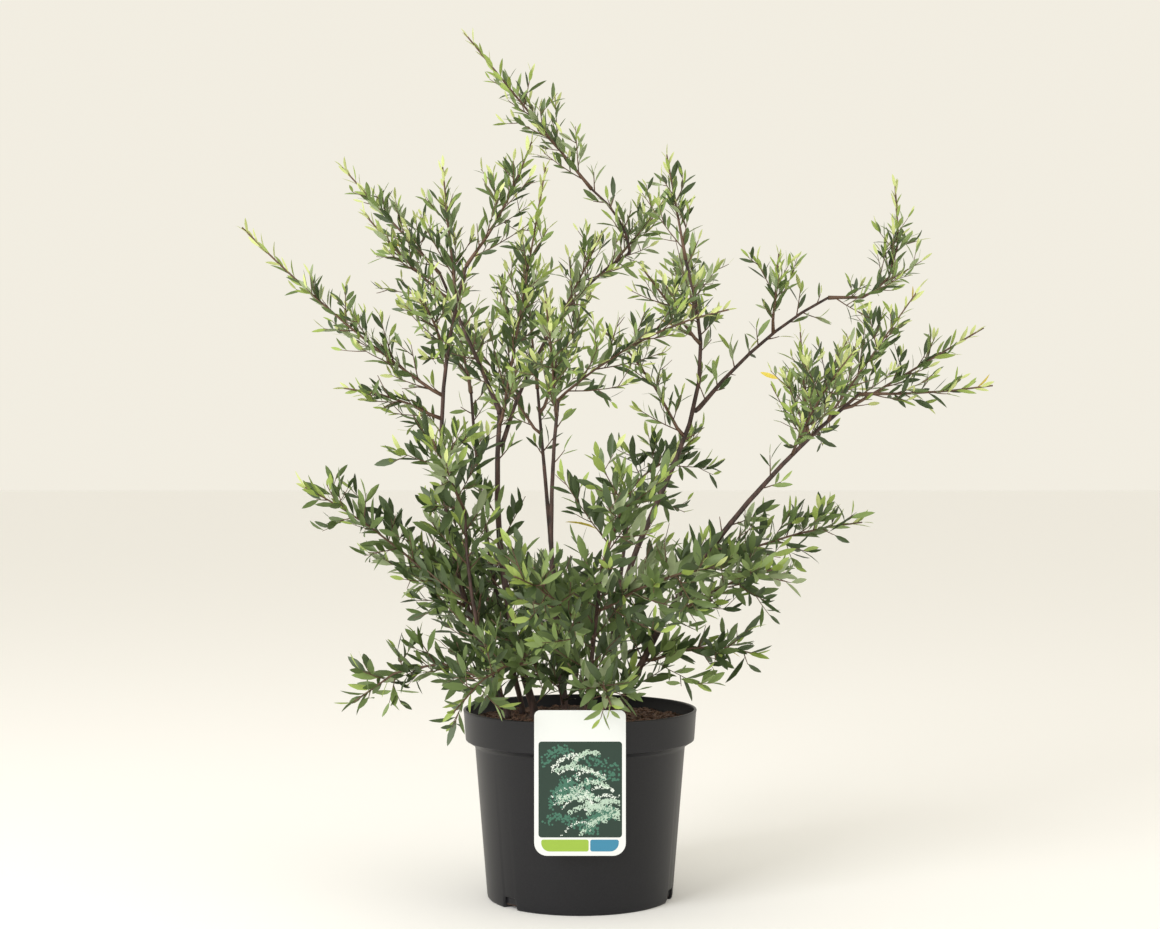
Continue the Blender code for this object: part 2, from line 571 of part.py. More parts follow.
class Mass:
    """One foliage mass: its shoot, the twigs that leave it in turn, and their leaves."""

    def __init__(self, number, name, spaces, material, collection):
        self.name = name
        self.spaces = spaces
        self.shoot = spaces.shoots[name]
        self.material = material
        self.dice = random.Random(SEED + number)
        self.body = tube(name, self.shoot, 0, material, collection)
        self.bits = new_collection(name + "_bits")
        self.leaves = 0

    def grow(self):
        """Leaf the shoot, add the twigs and their leaves, and join it all to one solid."""
        path = self.shoot["path"]
        length = np.linalg.norm(np.diff(path, axis=0), axis=1).sum()
        self.leafy(path, round(length / LEAF_STEP), 0.08, SHOOT_LEAF_SPREAD, LEAF_LENGTH)
        twigs = max(2, round(length / TWIG_STEP))
        for twig in range(twigs):
            share = 0.12 + 0.72 * (twig + self.dice.uniform(0.2, 0.8)) / twigs
            turn = (twig + 0.5) * GOLDEN_ANGLE + self.dice.uniform(-0.3, 0.3)
            start, aim = leaving(path, share, turn, TWIG_SPREAD)
            longest = self.shoot["reach"] * self.dice.uniform(0.85, 1.1) * (1.0 - 0.5 * share)
            end = self.longest_fit(start, aim, longest)
            if end is not None:
                self.add_twig(start, end)
                run = np.array((start, end), dtype=float)
                count = max(2, round((end - start).length / TWIG_LEAF_STEP))
                self.leafy(run, count, 0.3, TWIG_LEAF_SPREAD, LEAF_LENGTH * 0.92)
        fuse(self.body, self.bits)
        self.body.data.name = self.name
        return self.leaves

    def longest_fit(self, start, aim, longest):
        """The far end of the longest twig that stays in the space, or nothing."""
        while longest > SHORTEST_TWIG:
            end = start + aim * longest
            if self.spaces.holds(self.name, [start.lerp(end, part) for part in (0.4, 0.7, 1.0)]):
                return end
            longest *= 0.75
        return None

    def leafy(self, path, count, first, spread, size):
        """Leaves in turn by the golden angle along a path, the last one in line with it."""
        for number in range(count):
            share = first + (1.0 - first) * (number + 1) / count
            last = number == count - 1
            tilt = 0.0 if last else spread * self.dice.uniform(0.8, 1.2)
            length = size * self.dice.uniform(0.86, 1.08)
            length *= 1.0 - (1.0 - TIP_LEAF_SHARE) * share ** 3
            turn = number * GOLDEN_ANGLE + self.dice.uniform(-0.4, 0.4)
            roll = math.radians(90.0) + self.dice.uniform(-1.0, 1.0)
            sunk = TIP_LEAF_SUNK if last else 0.0
            for attempt in range(LEAF_TRIES):
                point, aim = leaving(path, min(share, 0.999), turn + attempt, tilt)
                if self.add_leaf(point - aim * sunk, aim, roll, length):
                    break

    def add_leaf(self, root, aim, roll, length):
        """Fit one leaf of eight faces, unless it would leave the space or meet another."""
        width = LEAF_WIDTH * length / LEAF_LENGTH
        across = turned_side(aim, roll)
        edge = across * width * 0.5
        tip = root + aim * length
        middle = root.lerp(tip, 0.5)
        outer = [middle + edge, middle, middle - edge, root.lerp(tip, 0.8), tip]
        if not self.spaces.holds(self.name, outer + [root.lerp(tip, 0.2)]):
            return False
        if not self.spaces.free(self.name, outer):
            return False
        axes = Matrix((across * width, aim.cross(across) * LEAF_THICK, tip - root)).transposed()
        matrix = Matrix.Translation(middle * MM) @ (axes * MM).to_4x4()
        bm = bmesh.new()
        bmesh.ops.create_uvsphere(bm, u_segments=4, v_segments=2, radius=0.5, matrix=matrix)
        self.add_bit(bm, "leaf")
        self.spaces.take(self.name, root.lerp(tip, 0.3), tip)
        self.leaves += 1
        return True

    def add_twig(self, start, end):
        """One three-sided twig, thinner at its tip."""
        run = end - start
        turn = run.to_track_quat("Z", "X").to_matrix().to_4x4()
        matrix = Matrix.Translation((start + run * 0.5) * MM) @ turn
        bm = bmesh.new()
        bmesh.ops.create_cone(bm, cap_ends=True, segments=3, radius1=TWIG_RADIUS * MM,
                              radius2=TWIG_TIP_RADIUS * MM, depth=run.length * MM, matrix=matrix)
        self.add_bit(bm, "twig")
        self.spaces.take(self.name, start.lerp(end, 0.3), end)

    def add_bit(self, bm, name):
        """Keep a small closed shape to be joined on at the end."""
        mesh = bpy.data.meshes.new(name)
        bm.to_mesh(mesh)
        bm.free()
        link_mesh(name, mesh, self.material, self.bits)


def main():
    """Clear the scene and build the pot, its compost, the label and the whole shrub."""
    for piece in list(bpy.data.objects):
        bpy.data.objects.remove(piece)
    plant = new_collection("potted_spirea")
    cutters = new_collection("cutters")
    pot_plastic = colour_material("pot_plastic", (0.045, 0.045, 0.048), 0.42)
    compost = colour_material("compost", (0.055, 0.032, 0.020), 0.95)
    card = colour_material("label_card", (0.82, 0.83, 0.80), 0.40)
    bark = colour_material("bark", (0.105, 0.050, 0.038), 0.75)
    foliage = colour_material("foliage", (0.070, 0.130, 0.035), 0.55)
    make_pot(pot_plastic, plant, cutters)
    make_soil(compost, plant)
    make_label(card, plant)
    limbs = plan_limbs()
    for name, shape in limbs.items():
        tube(name, shape, 2 if name in STEMS else 1, bark, plant).data.shade_smooth()
    spaces = Spaces(limbs, plan_shoots(limbs))
    masses = [Mass(number, name, spaces, foliage, plant) for number, name in enumerate(MASSES)]
    print("leaves", sum(mass.grow() for mass in masses))


main()
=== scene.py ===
# %% [markdown]
# # Potted spirea, summer leaf
#
# A young many-stemmed shrub in a five-litre nursery pot. The solids say where everything
# is, and this script gives them their looks. The pot, its compost and the label are made
# again with finer edges, the stems and boughs get bark with relief, and every foliage mass
# is grown again from its shoot as twigs and single leaves in the same space.

import math

import bpy
import numpy as np
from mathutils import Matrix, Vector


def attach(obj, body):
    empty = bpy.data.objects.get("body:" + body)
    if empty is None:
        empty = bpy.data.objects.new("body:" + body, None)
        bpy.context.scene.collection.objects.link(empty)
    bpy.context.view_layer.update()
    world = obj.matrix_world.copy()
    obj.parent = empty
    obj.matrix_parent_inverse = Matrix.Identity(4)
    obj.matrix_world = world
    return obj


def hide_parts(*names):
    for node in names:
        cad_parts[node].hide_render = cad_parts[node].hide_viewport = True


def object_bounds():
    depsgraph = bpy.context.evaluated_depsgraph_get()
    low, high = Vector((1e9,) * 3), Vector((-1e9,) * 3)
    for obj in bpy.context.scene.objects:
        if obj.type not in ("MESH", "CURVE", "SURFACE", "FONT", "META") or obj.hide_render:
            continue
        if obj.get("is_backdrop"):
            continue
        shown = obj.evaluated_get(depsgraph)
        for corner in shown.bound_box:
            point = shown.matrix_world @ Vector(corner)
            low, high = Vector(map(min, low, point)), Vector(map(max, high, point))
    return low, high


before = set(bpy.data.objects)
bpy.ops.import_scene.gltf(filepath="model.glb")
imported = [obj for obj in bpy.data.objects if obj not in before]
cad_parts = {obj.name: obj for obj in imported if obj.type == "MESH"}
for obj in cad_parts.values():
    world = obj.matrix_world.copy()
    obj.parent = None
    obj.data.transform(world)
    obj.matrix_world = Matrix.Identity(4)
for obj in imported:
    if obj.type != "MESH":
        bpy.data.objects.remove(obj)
scene = bpy.context.scene
cad_low, cad_high = (np.array(corner, dtype=float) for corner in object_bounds())
print("solids in metres", cad_low.round(3), cad_high.round(3))

# %% [markdown]
# ## Named sizes
#
# Everything below is in millimetres and becomes metres only when a mesh is made. Stems and
# boughs are given as where they start, where they end and how far they bow on the way. A
# foliage mass is given as the shoot that carries it and the reach of its leaves round it.
# Random draws all start from the seeds named here, so each run gives the same shrub.

# %%
MM = 0.001
GAP = 0.3

POT_HEIGHT = 185.0
RIM_RADIUS = 115.0
COLLAR_FOOT_RADIUS = 112.6
COLLAR_HEIGHT = 30.0
SHOULDER_DROP = 6.5
BODY_RADIUS = 103.4
FOOT_RADIUS = 91.3
WALL = 2.0
FLOOR = 3.0
NOTCH_COMPASS = (-137.0, -17.0, 103.0)
NOTCH_WIDTH = 17.0
NOTCH_HEIGHT = 11.0
SOIL_LEVEL = 173.0

CARD_WIDTH = 85.0
CARD_TOP = 197.0
CARD_BOTTOM = 62.0
CARD_THICK = 0.7
CARD_TOP_CORNER = 5.5
CARD_BOTTOM_CORNER = 12.0
STRAP_WIDTH = 24.0
STRAP_THICK = 0.9

GOLDEN_ANGLE = math.radians(137.508)
FULL_TURN = 6.28
SHOOT_RADIUS = 1.5
SHOOT_TIP_RADIUS = 0.8
LEAF_PAST_SHOOT = 9.0
FLARE_HEIGHT = 8.0
FLARES = (1.35, 1.08)
STEM_STEP, BOUGH_STEP, SHOOT_STEP = 42.0, 36.0, 40.0
ROOT_SWELLS = (1.5, 1.3)

MASS_SEED, LIMB_SEED, TINT_SEED, SOIL_SEED, PRINT_SEED = 900, 300, 77, 5, 12
NO_QUADS = np.zeros((0, 4), dtype=int)
NO_TRIS = np.zeros((0, 3), dtype=int)

STEMS = {
    "stem_left": ((-72, 5), (-111, -25, 618), (-42, 0, 0), (0, 0, 0), 6.4, 3.0),
    "stem_left_low": ((-76, -32), (-111, -45, 378), (-8, 0, 0), (0, 0, 0), 4.8, 2.8),
    "stem_inner_left": ((-58, 36), (-110, 45, 497), (-8, 0, 0), (0, 0, 0), 5.2, 2.8),
    "stem_thick": ((-45, 0), (-79, 0, 475), (-15, 0, 0), (0, 0, 0), 8.0, 4.6),
    "stem_centre": ((-14, -35), (-21, -50, 487), (-10, 0, 0), (0, 0, 0), 6.0, 3.2),
    "stem_right": ((28, 16), (105, 10, 628), (18, 0, 0), (-20, 0, 0), 7.2, 3.0),
    "stem_far_right": ((38, -12), (275, 0, 494), (-22, 0, 12), (0, 0, 0), 7.4, 3.4),
    "stem_back": ((-15, 50), (-45, 140, 505), (0, -12, 0), (0, 0, 0), 6.0, 3.0),
    "stem_back_right": ((25, 56), (55, 160, 400), (0, -10, 0), (0, 0, 0), 5.6, 3.0),
    "stem_front": ((5, -62), (20, -130, 330), (0, 8, 0), (0, 0, 0), 5.2, 2.8),
}

BOUGHS = {
    "bough_left_leader": ("stem_thick", 1.0, (-141, 40, 617), (0, 0, 0), 4.2, 2.8),
    "bough_diagonal": ("stem_thick", 0.90, (50, 70, 641), (-12, 0, 22), 4.0, 2.6),
    "bough_top_leader": ("bough_diagonal", 1.0, (12, 66, 706), (8, 0, 2), 2.6, 2.4),
    "bough_right_reach": ("stem_right", 0.68, (250, 40, 593), (0, 0, 12), 4.0, 2.6),
}

MASSES = {
    "leaves_far_left": ("stem_left", 0.72, (-330, -60, 658), (0, 0, -8), 42),
    "leaves_left_shelf": ("stem_left", 0.67, (-236, -52, 500), (0, 0, 6), 42),
    "leaves_left_leader": ("bough_left_leader", 1.0, (-248, 60, 734), (-4, 0, 4), 46),
    "leaves_second_left": ("bough_left_leader", 0.80, (-218, -8, 678), (0, 0, -4), 46),
    "leaves_left_up": ("stem_left", 1.0, (-44, -10, 750), (4, 0, -6), 52),
    "leaves_upper_left": ("stem_left", 0.93, (-138, 22, 730), (0, 0, 0), 52),
    "leaves_middle": ("stem_thick", 0.96, (-31, -75, 716), (0, 0, 0), 60),
    "leaves_top": ("bough_top_leader", 1.0, (-121, 10, 861), (0, 0, 0), 40),
    "leaves_diagonal_tip": ("bough_diagonal", 0.93, (85, 125, 694), (0, 0, 0), 56),
    "leaves_crown_right": ("bough_diagonal", 0.60, (24, -30, 655), (0, 0, 0), 58),
    "leaves_crown_front": ("stem_centre", 0.95, (-31, -200, 575), (0, 0, 10), 58),
    "leaves_front_left": ("stem_left", 0.80, (-145, -180, 575), (0, 0, 8), 56),
    "leaves_back_up": ("stem_back", 1.0, (-65, 205, 680), (0, 0, 0), 60),
    "leaves_back_left": ("stem_back", 0.85, (-160, 220, 605), (0, 0, 8), 56),
    "leaves_back_right": ("stem_back", 0.92, (15, 245, 622), (0, 0, 8), 56),
    "leaves_inner_left": ("stem_inner_left", 1.0, (-134, 112, 606), (0, 0, 0), 60),
    "leaves_right_top": ("stem_right", 1.0, (84, 0, 740), (0, 0, 0), 48),
    "leaves_gap_left": ("stem_right", 0.62, (16, -20, 562), (0, 0, 15), 34),
    "leaves_right_inner": ("stem_right", 0.82, (55, -80, 616), (0, 0, 0), 52),
    "leaves_right_back": ("stem_right", 0.88, (100, 160, 645), (0, 0, 6), 56),
    "leaves_centre_right": ("stem_centre", 1.0, (147, -112, 572), (0, 0, 14), 58),
    "leaves_right_reach": ("bough_right_reach", 1.0, (323, 70, 719), (27, 0, -38), 46),
    "leaves_reach_upright": ("bough_right_reach", 0.62, (197, 0, 642), (0, 0, 0), 46),
    "leaves_far_right_low": ("stem_far_right", 1.0, (412, -22, 503), (0, 0, -3), 36),
    "leaves_far_right_high": ("stem_far_right", 0.95, (411, 24, 566), (0, 0, 0), 40),
    "leaves_head_high": ("stem_far_right", 0.90, (330, -52, 600), (0, 0, 0), 54),
    "leaves_head_left": ("stem_far_right", 0.84, (213, -34, 562), (0, 0, 0), 54),
    "leaves_head_front": ("stem_far_right", 0.78, (250, -155, 530), (0, 0, 8), 50),
    "leaves_head_back": ("stem_far_right", 0.81, (285, 140, 560), (0, 0, 8), 50),
    "leaves_left_mid": ("stem_left", 0.26, (-270, -62, 408), (0, 0, 10), 42),
    "leaves_left_low_tip": ("stem_left_low", 1.0, (-140, -110, 455), (0, 0, 0), 64),
    "leaves_right_mid": ("stem_far_right", 0.42, (294, 52, 368), (0, 0, 8), 44),
    "leaves_front_up": ("stem_front", 1.0, (48, -195, 418), (0, 0, 0), 68),
    "leaves_front_mid": ("stem_front", 0.55, (-62, -222, 330), (0, 0, 8), 68),
    "leaves_front_right": ("stem_front", 0.72, (128, -185, 335), (0, 0, 8), 68),
    "leaves_back_mid": ("stem_back_right", 1.0, (122, 250, 440), (0, 0, 6), 62),
    "leaves_low_back": ("stem_back", 0.22, (-30, 225, 290), (0, 0, 10), 64),
    "leaves_low_back_left": ("stem_inner_left", 0.34, (-172, 170, 300), (0, 0, 8), 64),
    "leaves_low_left": ("stem_left_low", 0.22, (-228, -42, 190), (0, 0, 26), 46),
    "leaves_low_front_left": ("stem_centre", 0.16, (-120, -165, 196), (0, 0, 26), 60),
    "leaves_rim_front": ("stem_front", 0.16, (30, -178, 205), (0, 0, 20), 50),
    "leaves_low_right": ("stem_far_right", 0.16, (180, -38, 240), (0, 0, 12), 56),
    "leaves_low_right_front": ("stem_far_right", 0.27, (190, -100, 330), (0, 0, 8), 66),
}
print(len(STEMS), "stems,", len(BOUGHS), "boughs,", len(MASSES), "foliage masses")

# %% [markdown]
# ## Materials
#
# Each finish is one Principled shader with its numbers set on the shader itself. Where a
# surface needs grain, a noise in object coordinates mixes two colours and drives a bump:
# bark, plastic and peat vary at a scale too fine for a mesh. Leaves are plain, in seven
# tints from a dark green that is painted shade to young tip.


# %%
NOISE_DETAIL = 6.0
TONE_EDGES = (0.35, 0.68)
POT_SPECULAR = 0.30


def plain_finish(name, colour, roughness):
    """One Principled material of one colour and roughness."""
    material = bpy.data.materials.new(name)
    material.use_nodes = True
    shader = material.node_tree.nodes["Principled BSDF"]
    shader.inputs["Base Color"].default_value = (*colour, 1.0)
    shader.inputs["Roughness"].default_value = roughness
    return material


def grained_finish(name, colours, roughness, scale, bump, depth, stretch=(1, 1, 1)):
    """A Principled material whose colour runs through two tones of a noise, with a bump."""
    material = plain_finish(name, colours[0], roughness)
    nodes, links = material.node_tree.nodes, material.node_tree.links
    shader = nodes["Principled BSDF"]
    coordinate = nodes.new("ShaderNodeTexCoord")
    mapping = nodes.new("ShaderNodeMapping")
    mapping.inputs["Scale"].default_value = stretch
    noise = nodes.new("ShaderNodeTexNoise")
    noise.inputs["Scale"].default_value = scale
    noise.inputs["Detail"].default_value = NOISE_DETAIL
    ramp = nodes.new("ShaderNodeValToRGB")
    for element, edge, colour in zip(ramp.color_ramp.elements, TONE_EDGES, colours):
        element.position = edge
        element.color = (*colour, 1.0)
    relief = nodes.new("ShaderNodeBump")
    relief.inputs["Strength"].default_value = bump
    relief.inputs["Distance"].default_value = depth
    links.new(coordinate.outputs["Object"], mapping.inputs["Vector"])
    links.new(mapping.outputs["Vector"], noise.inputs["Vector"])
    links.new(noise.outputs["Fac"], ramp.inputs["Fac"])
    links.new(ramp.outputs["Color"], shader.inputs["Base Color"])
    links.new(noise.outputs["Fac"], relief.inputs["Height"])
    links.new(relief.outputs["Normal"], shader.inputs["Normal"])
    return material


bark_finish = grained_finish(
    "bark", ((0.020, 0.011, 0.008), (0.085, 0.044, 0.034)), 0.72, 260.0, 0.5, 0.0006, (1, 1, 0.3)
)
twig_finish = plain_finish("twig_bark", (0.120, 0.066, 0.040), 0.6)
pot_finish = grained_finish(
    "pot_plastic", ((0.006, 0.006, 0.008), (0.010, 0.010, 0.012)), 0.40, 900.0, 0.06, 0.0002
)
pot_shader = pot_finish.node_tree.nodes["Principled BSDF"]
pot_shader.inputs["Specular IOR Level"].default_value = POT_SPECULAR
soil_finish = grained_finish(
    "compost", ((0.022, 0.011, 0.007), (0.095, 0.050, 0.030)), 0.95, 320.0, 0.8, 0.002
)
chip_finish = grained_finish(
    "bark_chips", ((0.050, 0.024, 0.014), (0.170, 0.092, 0.055)), 0.9, 400.0, 0.4, 0.0008
)
card_finish = plain_finish("label_card", (0.66, 0.68, 0.67), 0.35)
LEAF_TINTS = {
    # deep is a darker copy of the leaf green: painted shade, dealt out most low in the crown.
    "deep": (0.045, 0.074, 0.021),
    "mid": (0.098, 0.148, 0.040),
    "fresh": (0.200, 0.280, 0.085),
    "pale": (0.270, 0.330, 0.170),
    "lime": (0.270, 0.360, 0.075),
    "tip": (0.500, 0.560, 0.210),
    "turning": (0.600, 0.480, 0.060),
}
leaf_finish = {
    tint: plain_finish("leaf_" + tint, colour, 0.5) for tint, colour in LEAF_TINTS.items()
}
print(len(bpy.data.materials), "materials")

# %% [markdown]
# ## Limbs by the rule of the solids
#
# A limb is an arch from its seat to its tip: a straight run, a parabola pushed out by the
# bow, and for one stem a wave. Each bough of the solids starts just off its carrier's bark.
# Here its foot is drawn on into the carrier with a small swelling, as on a real branch.


# %%
def arched(start, tip, bow, sway, steps):
    """Points from start to tip: line + bow 4 t (1 - t) + sway sin(2 pi t), t from 0 to 1."""
    share = np.linspace(0.0, 1.0, steps + 1)[:, None]
    start, tip, bow, sway = (np.array(item, dtype=float) for item in (start, tip, bow, sway))
    line = start + (tip - start) * share
    return line + bow * 4.0 * share * (1.0 - share) + sway * np.sin(2.0 * np.pi * share)


def distances_up(path):
    """How far along the path each of its points lies."""
    lengths = np.linalg.norm(np.diff(path, axis=0), axis=1)
    return np.concatenate(([0.0], np.cumsum(lengths)))


def along_path(path, shares):
    """Points and unit headings at shares of a path's length."""
    runs = np.diff(path, axis=0)
    lengths = np.linalg.norm(runs, axis=1)
    ends = distances_up(path)
    places = np.atleast_1d(shares) * ends[-1]
    index = np.clip(np.searchsorted(ends, places, side="right") - 1, 0, len(lengths) - 1)
    part = ((places - ends[index]) / lengths[index])[:, None]
    return path[index] + runs[index] * part, runs[index] / lengths[index][:, None]


def tapered(path, first_radius, last_radius):
    """A limb: its path, and a radius at each point that falls evenly along the length."""
    share = distances_up(path) / distances_up(path)[-1]
    return {"path": path, "radii": first_radius + (last_radius - first_radius) * share}


def seat(carrier, share, tip, radius):
    """Where a limb starts: off the tip along the heading, or off the bark square to it."""
    point, heading = (item[0] for item in along_path(carrier["path"], share))
    aim = np.array(tip, dtype=float) - point
    aim /= np.linalg.norm(aim)
    along = float(aim @ heading)
    if share >= 1.0:
        return point + heading * (GAP + radius * math.sqrt(max(0.0, 1.0 - along * along)))
    side = aim - heading * along
    side /= np.linalg.norm(side)
    ends = distances_up(carrier["path"])
    bark = float(np.interp(share * ends[-1], ends, carrier["radii"]))
    return point + side * (bark + GAP + radius * abs(along))


def plan_limbs():
    """Every stem and bough with its path and radii."""
    limbs = {}
    foot_height = SOIL_LEVEL + GAP
    for name, (foot, tip, bow, sway, thick, thin) in STEMS.items():
        foot_point = np.array((*foot, foot_height), dtype=float)
        steps = max(5, round((tip[2] - foot_height) / STEM_STEP))
        arch = arched(foot_point + (0.0, 0.0, FLARE_HEIGHT), tip, bow, sway, steps)
        limbs[name] = tapered(np.vstack((foot_point, arch)), thick / 2.0, thin / 2.0)
        limbs[name]["radii"][:2] *= FLARES
    for name, (carrier, share, tip, bow, thick, thin) in BOUGHS.items():
        start = seat(limbs[carrier], share, np.array(tip) + 2.0 * np.array(bow), thick / 2.0)
        steps = max(4, round(np.linalg.norm(np.array(tip) - start) / BOUGH_STEP))
        limbs[name] = tapered(arched(start, tip, bow, (0, 0, 0), steps), thick / 2.0, thin / 2.0)
        limbs[name]["root"] = along_path(limbs[carrier]["path"], share)[0][0]
    return limbs


def plan_shoots(limbs):
    """The main shoot of every mass, which stops a leaf short of the mass's tip."""
    shoots = {}
    for name, (carrier, share, tip, bow, reach) in MASSES.items():
        start = seat(limbs[carrier], share, np.array(tip) + 2.0 * np.array(bow), SHOOT_RADIUS)
        heading = np.array(tip, dtype=float) - start - 2.0 * np.array(bow, dtype=float)
        end = np.array(tip) - heading / np.linalg.norm(heading) * LEAF_PAST_SHOOT
        steps = max(3, round(np.linalg.norm(end - start) / SHOOT_STEP))
        path = arched(start, end, bow, (0, 0, 0), steps)
        shoots[name] = tapered(path, SHOOT_RADIUS, SHOOT_TIP_RADIUS)
        shoots[name]["reach"] = reach
        shoots[name]["root"] = along_path(limbs[carrier]["path"], share)[0][0]
    return shoots


def rooted(shape):
    """The limb with its foot drawn on to the carrier's middle line, and a swollen collar."""
    if "root" not in shape:
        return shape
    path = np.vstack((shape["root"], shape["path"]))
    radii = np.concatenate((shape["radii"][:1] * ROOT_SWELLS[0], shape["radii"]))
    radii[1] *= ROOT_SWELLS[1]
    return {"path": path, "radii": radii}


limbs = plan_limbs()
shoots = plan_shoots(limbs)
print("limbs", len(limbs), "shoots", len(shoots))

# %% [markdown]
# ## Bark
#
# The real stems have thin bark with fine lengthwise furrows and small swellings at the old
# buds. They could be sculpted, but a rule keeps them light and the same on each run. One
# mesh of tubes stands for all the stems and boughs. Each ring is pushed in and out by waves
# that run round and along, so the outline is not a smooth pipe.


# %%
BARK_STEP = 3.5
BARK_SIDES = 12
BARK_RELIEF = 0.045
BARK_INSET = 0.99
PHASE_STEP = 1.7


def frames_along(path):
    """Unit headings of a path's points and two sides square to them, from a fixed guide."""
    heading = np.gradient(path, axis=0)
    heading /= np.linalg.norm(heading, axis=1)[:, None]
    guide = np.array((1.0, 0.35, 0.2)) if abs(heading[0, 0]) < 0.8 else np.array((0.2, 1.0, 0.3))
    first = np.cross(heading, guide)
    first /= np.linalg.norm(first, axis=1)[:, None]
    return heading, first, np.cross(heading, first)


def ring_quads(rings, sides):
    """The faces between rings of points, wound so that a tube along its path faces out."""
    row, column = np.meshgrid(np.arange(rings - 1), np.arange(sides), indexing="ij")
    here = row * sides + column
    beside = row * sides + (column + 1) % sides
    return np.stack((here, beside, beside + sides, here + sides), axis=-1).reshape(-1, 4)


def tube_mesh(path, radii, sides, relief, phase):
    """Rings round a path, closed by a point at each end.

    Each radius is scaled by 1 + relief times (three waves round + five weaker ones, which
    drift along the limb, + a bud knot on one side that comes back every eleven rings or so).
    """
    turn = np.linspace(0.0, 2.0 * np.pi, sides, endpoint=False)
    heading, first, second = frames_along(path)
    rows = np.arange(len(path))[:, None]
    waves = np.sin(3.0 * turn + 0.21 * rows + phase) + 0.7 * np.sin(5.0 * turn - 0.37 * rows)
    knots = np.maximum(0.0, np.sin(0.55 * rows + phase)) ** 8
    knots = knots * np.maximum(0.0, np.cos(turn - rows * 0.9))
    ring = radii[:, None] * (1.0 + relief * waves + 2.2 * relief * knots)
    round_part = np.cos(turn)[None, :, None] * first[:, None, :]
    round_part = round_part + np.sin(turn)[None, :, None] * second[:, None, :]
    points = path[:, None, :] + ring[:, :, None] * round_part
    points = np.vstack((points.reshape(-1, 3), path[0], path[-1]))
    quads = ring_quads(len(path), sides)
    column = np.arange(sides)
    after = (column + 1) % sides
    last = (len(path) - 1) * sides
    foot = np.stack((after, column, np.full(sides, len(points) - 2)), axis=-1)
    head = np.stack((last + column, last + after, np.full(sides, len(points) - 1)), axis=-1)
    return points, quads, np.vstack((foot, head))


def resampled(shape, step):
    """A limb's path and radii at even steps, straight from point to point."""
    ends = distances_up(shape["path"])
    places = np.linspace(0.0, ends[-1], max(3, int(ends[-1] / step)) + 1)
    path = np.stack([np.interp(places, ends, shape["path"][:, axis]) for axis in range(3)], -1)
    return path, np.interp(places, ends, shape["radii"])


def joined_mesh(name, parts, finish, smooth=True):
    """One object from many parts, each its points in millimetres, quads and triangles."""
    points = np.vstack([part[0] for part in parts]) * MM
    starts = np.cumsum([0] + [len(part[0]) for part in parts[:-1]])
    quads = [part[1] + start for part, start in zip(parts, starts) if len(part[1])]
    tris = [part[2] + start for part, start in zip(parts, starts) if len(part[2])]
    quads = np.vstack(quads) if quads else NO_QUADS
    tris = np.vstack(tris) if tris else NO_TRIS
    mesh = bpy.data.meshes.new(name)
    mesh.vertices.add(len(points))
    mesh.vertices.foreach_set("co", points.astype(np.float32).ravel())
    corners = np.concatenate((quads.ravel(), tris.ravel())).astype(np.int32)
    mesh.loops.add(len(corners))
    mesh.loops.foreach_set("vertex_index", corners)
    sizes = np.concatenate((np.full(len(quads), 4), np.full(len(tris), 3)))
    begins = np.concatenate(([0], np.cumsum(sizes)[:-1])).astype(np.int32)
    mesh.polygons.add(len(sizes))
    mesh.polygons.foreach_set("loop_start", begins)
    mesh.polygons.foreach_set("use_smooth", np.full(len(sizes), smooth))
    mesh.update(calc_edges=True)
    mesh.validate()
    mesh.materials.append(finish)
    piece = bpy.data.objects.new(name, mesh)
    scene.collection.objects.link(piece)
    return piece


bark_parts = []
for number, shape in enumerate(limbs.values()):
    path, radii = resampled(rooted(shape), BARK_STEP)
    ring = radii * BARK_INSET
    bark_parts.append(tube_mesh(path, ring, BARK_SIDES, BARK_RELIEF, number * PHASE_STEP))
bark = joined_mesh("stems_and_boughs", bark_parts, bark_finish)
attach(bark, "root")
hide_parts(*limbs)
print("bark faces", len(bark.data.polygons))

# %% [markdown]
# ## Twigs and leaves
#
# The real shrub carries its narrow leaves in turn, by the golden angle, on shoots and short
# side shoots. Here every mass grows again from its main shoot: side twigs leave it in turn,
# finer twigs leave those, and leaves stand along all of them, pointing forward and up. What
# would leave the mass's own space, or touch a limb, the pot or the label, is left out, so
# the crown is open where the solids are open.


# %%
AIR = 3.0
LIMB_AIR = 1.0
SIDE_SHOOT_AIR = 0.4
TWIG_POINTS = 4
TWIG_RISE, FINE_RISE = 0.12, 0.10
SHOOT_PITCH, TWIG_PITCH, FINE_PITCH, SIDE_PITCH = 6.4, 5.6, 5.4, 5.2

# Leaf length, breadth, twiggy share of the shoot, extra spread in degrees, pitch of twigs.
LOW_CROWN = 460.0
LOW_HABIT = (33.0, 1.15, 0.88, 16.0, 10.0)
HIGH_HABIT = (25.0, 1.0, 0.66, 0.0, 11.0)

SIDE_SHOOT_PITCH = 9.0
SIDE_SHOOT_LENGTHS = (24.0, 62.0)
SIDE_SHOOT_HEIGHTS = (200.0, 360.0, 400.0, 480.0, 560.0)
SIDE_SHOOT_ODDS = (1.0, 1.0, 0.25, 0.25, 0.7)
SHORT_ABOVE, SHORT_SHARE = 370.0, 0.45
LENGTH, WIDTH, YOUTH, SPRAY = 9, 10, 11, 12


def straight_pieces(shapes):
    """All straight pieces of a set of paths, with their thicker end and their owner."""
    starts = np.vstack([shape["path"][:-1] for shape in shapes.values()])
    ends = np.vstack([shape["path"][1:] for shape in shapes.values()])
    radii = np.concatenate([shape["radii"][:-1] for shape in shapes.values()])
    owners = [name for name, shape in shapes.items() for _ in shape["path"][1:]]
    return starts, ends, radii, np.array(owners)


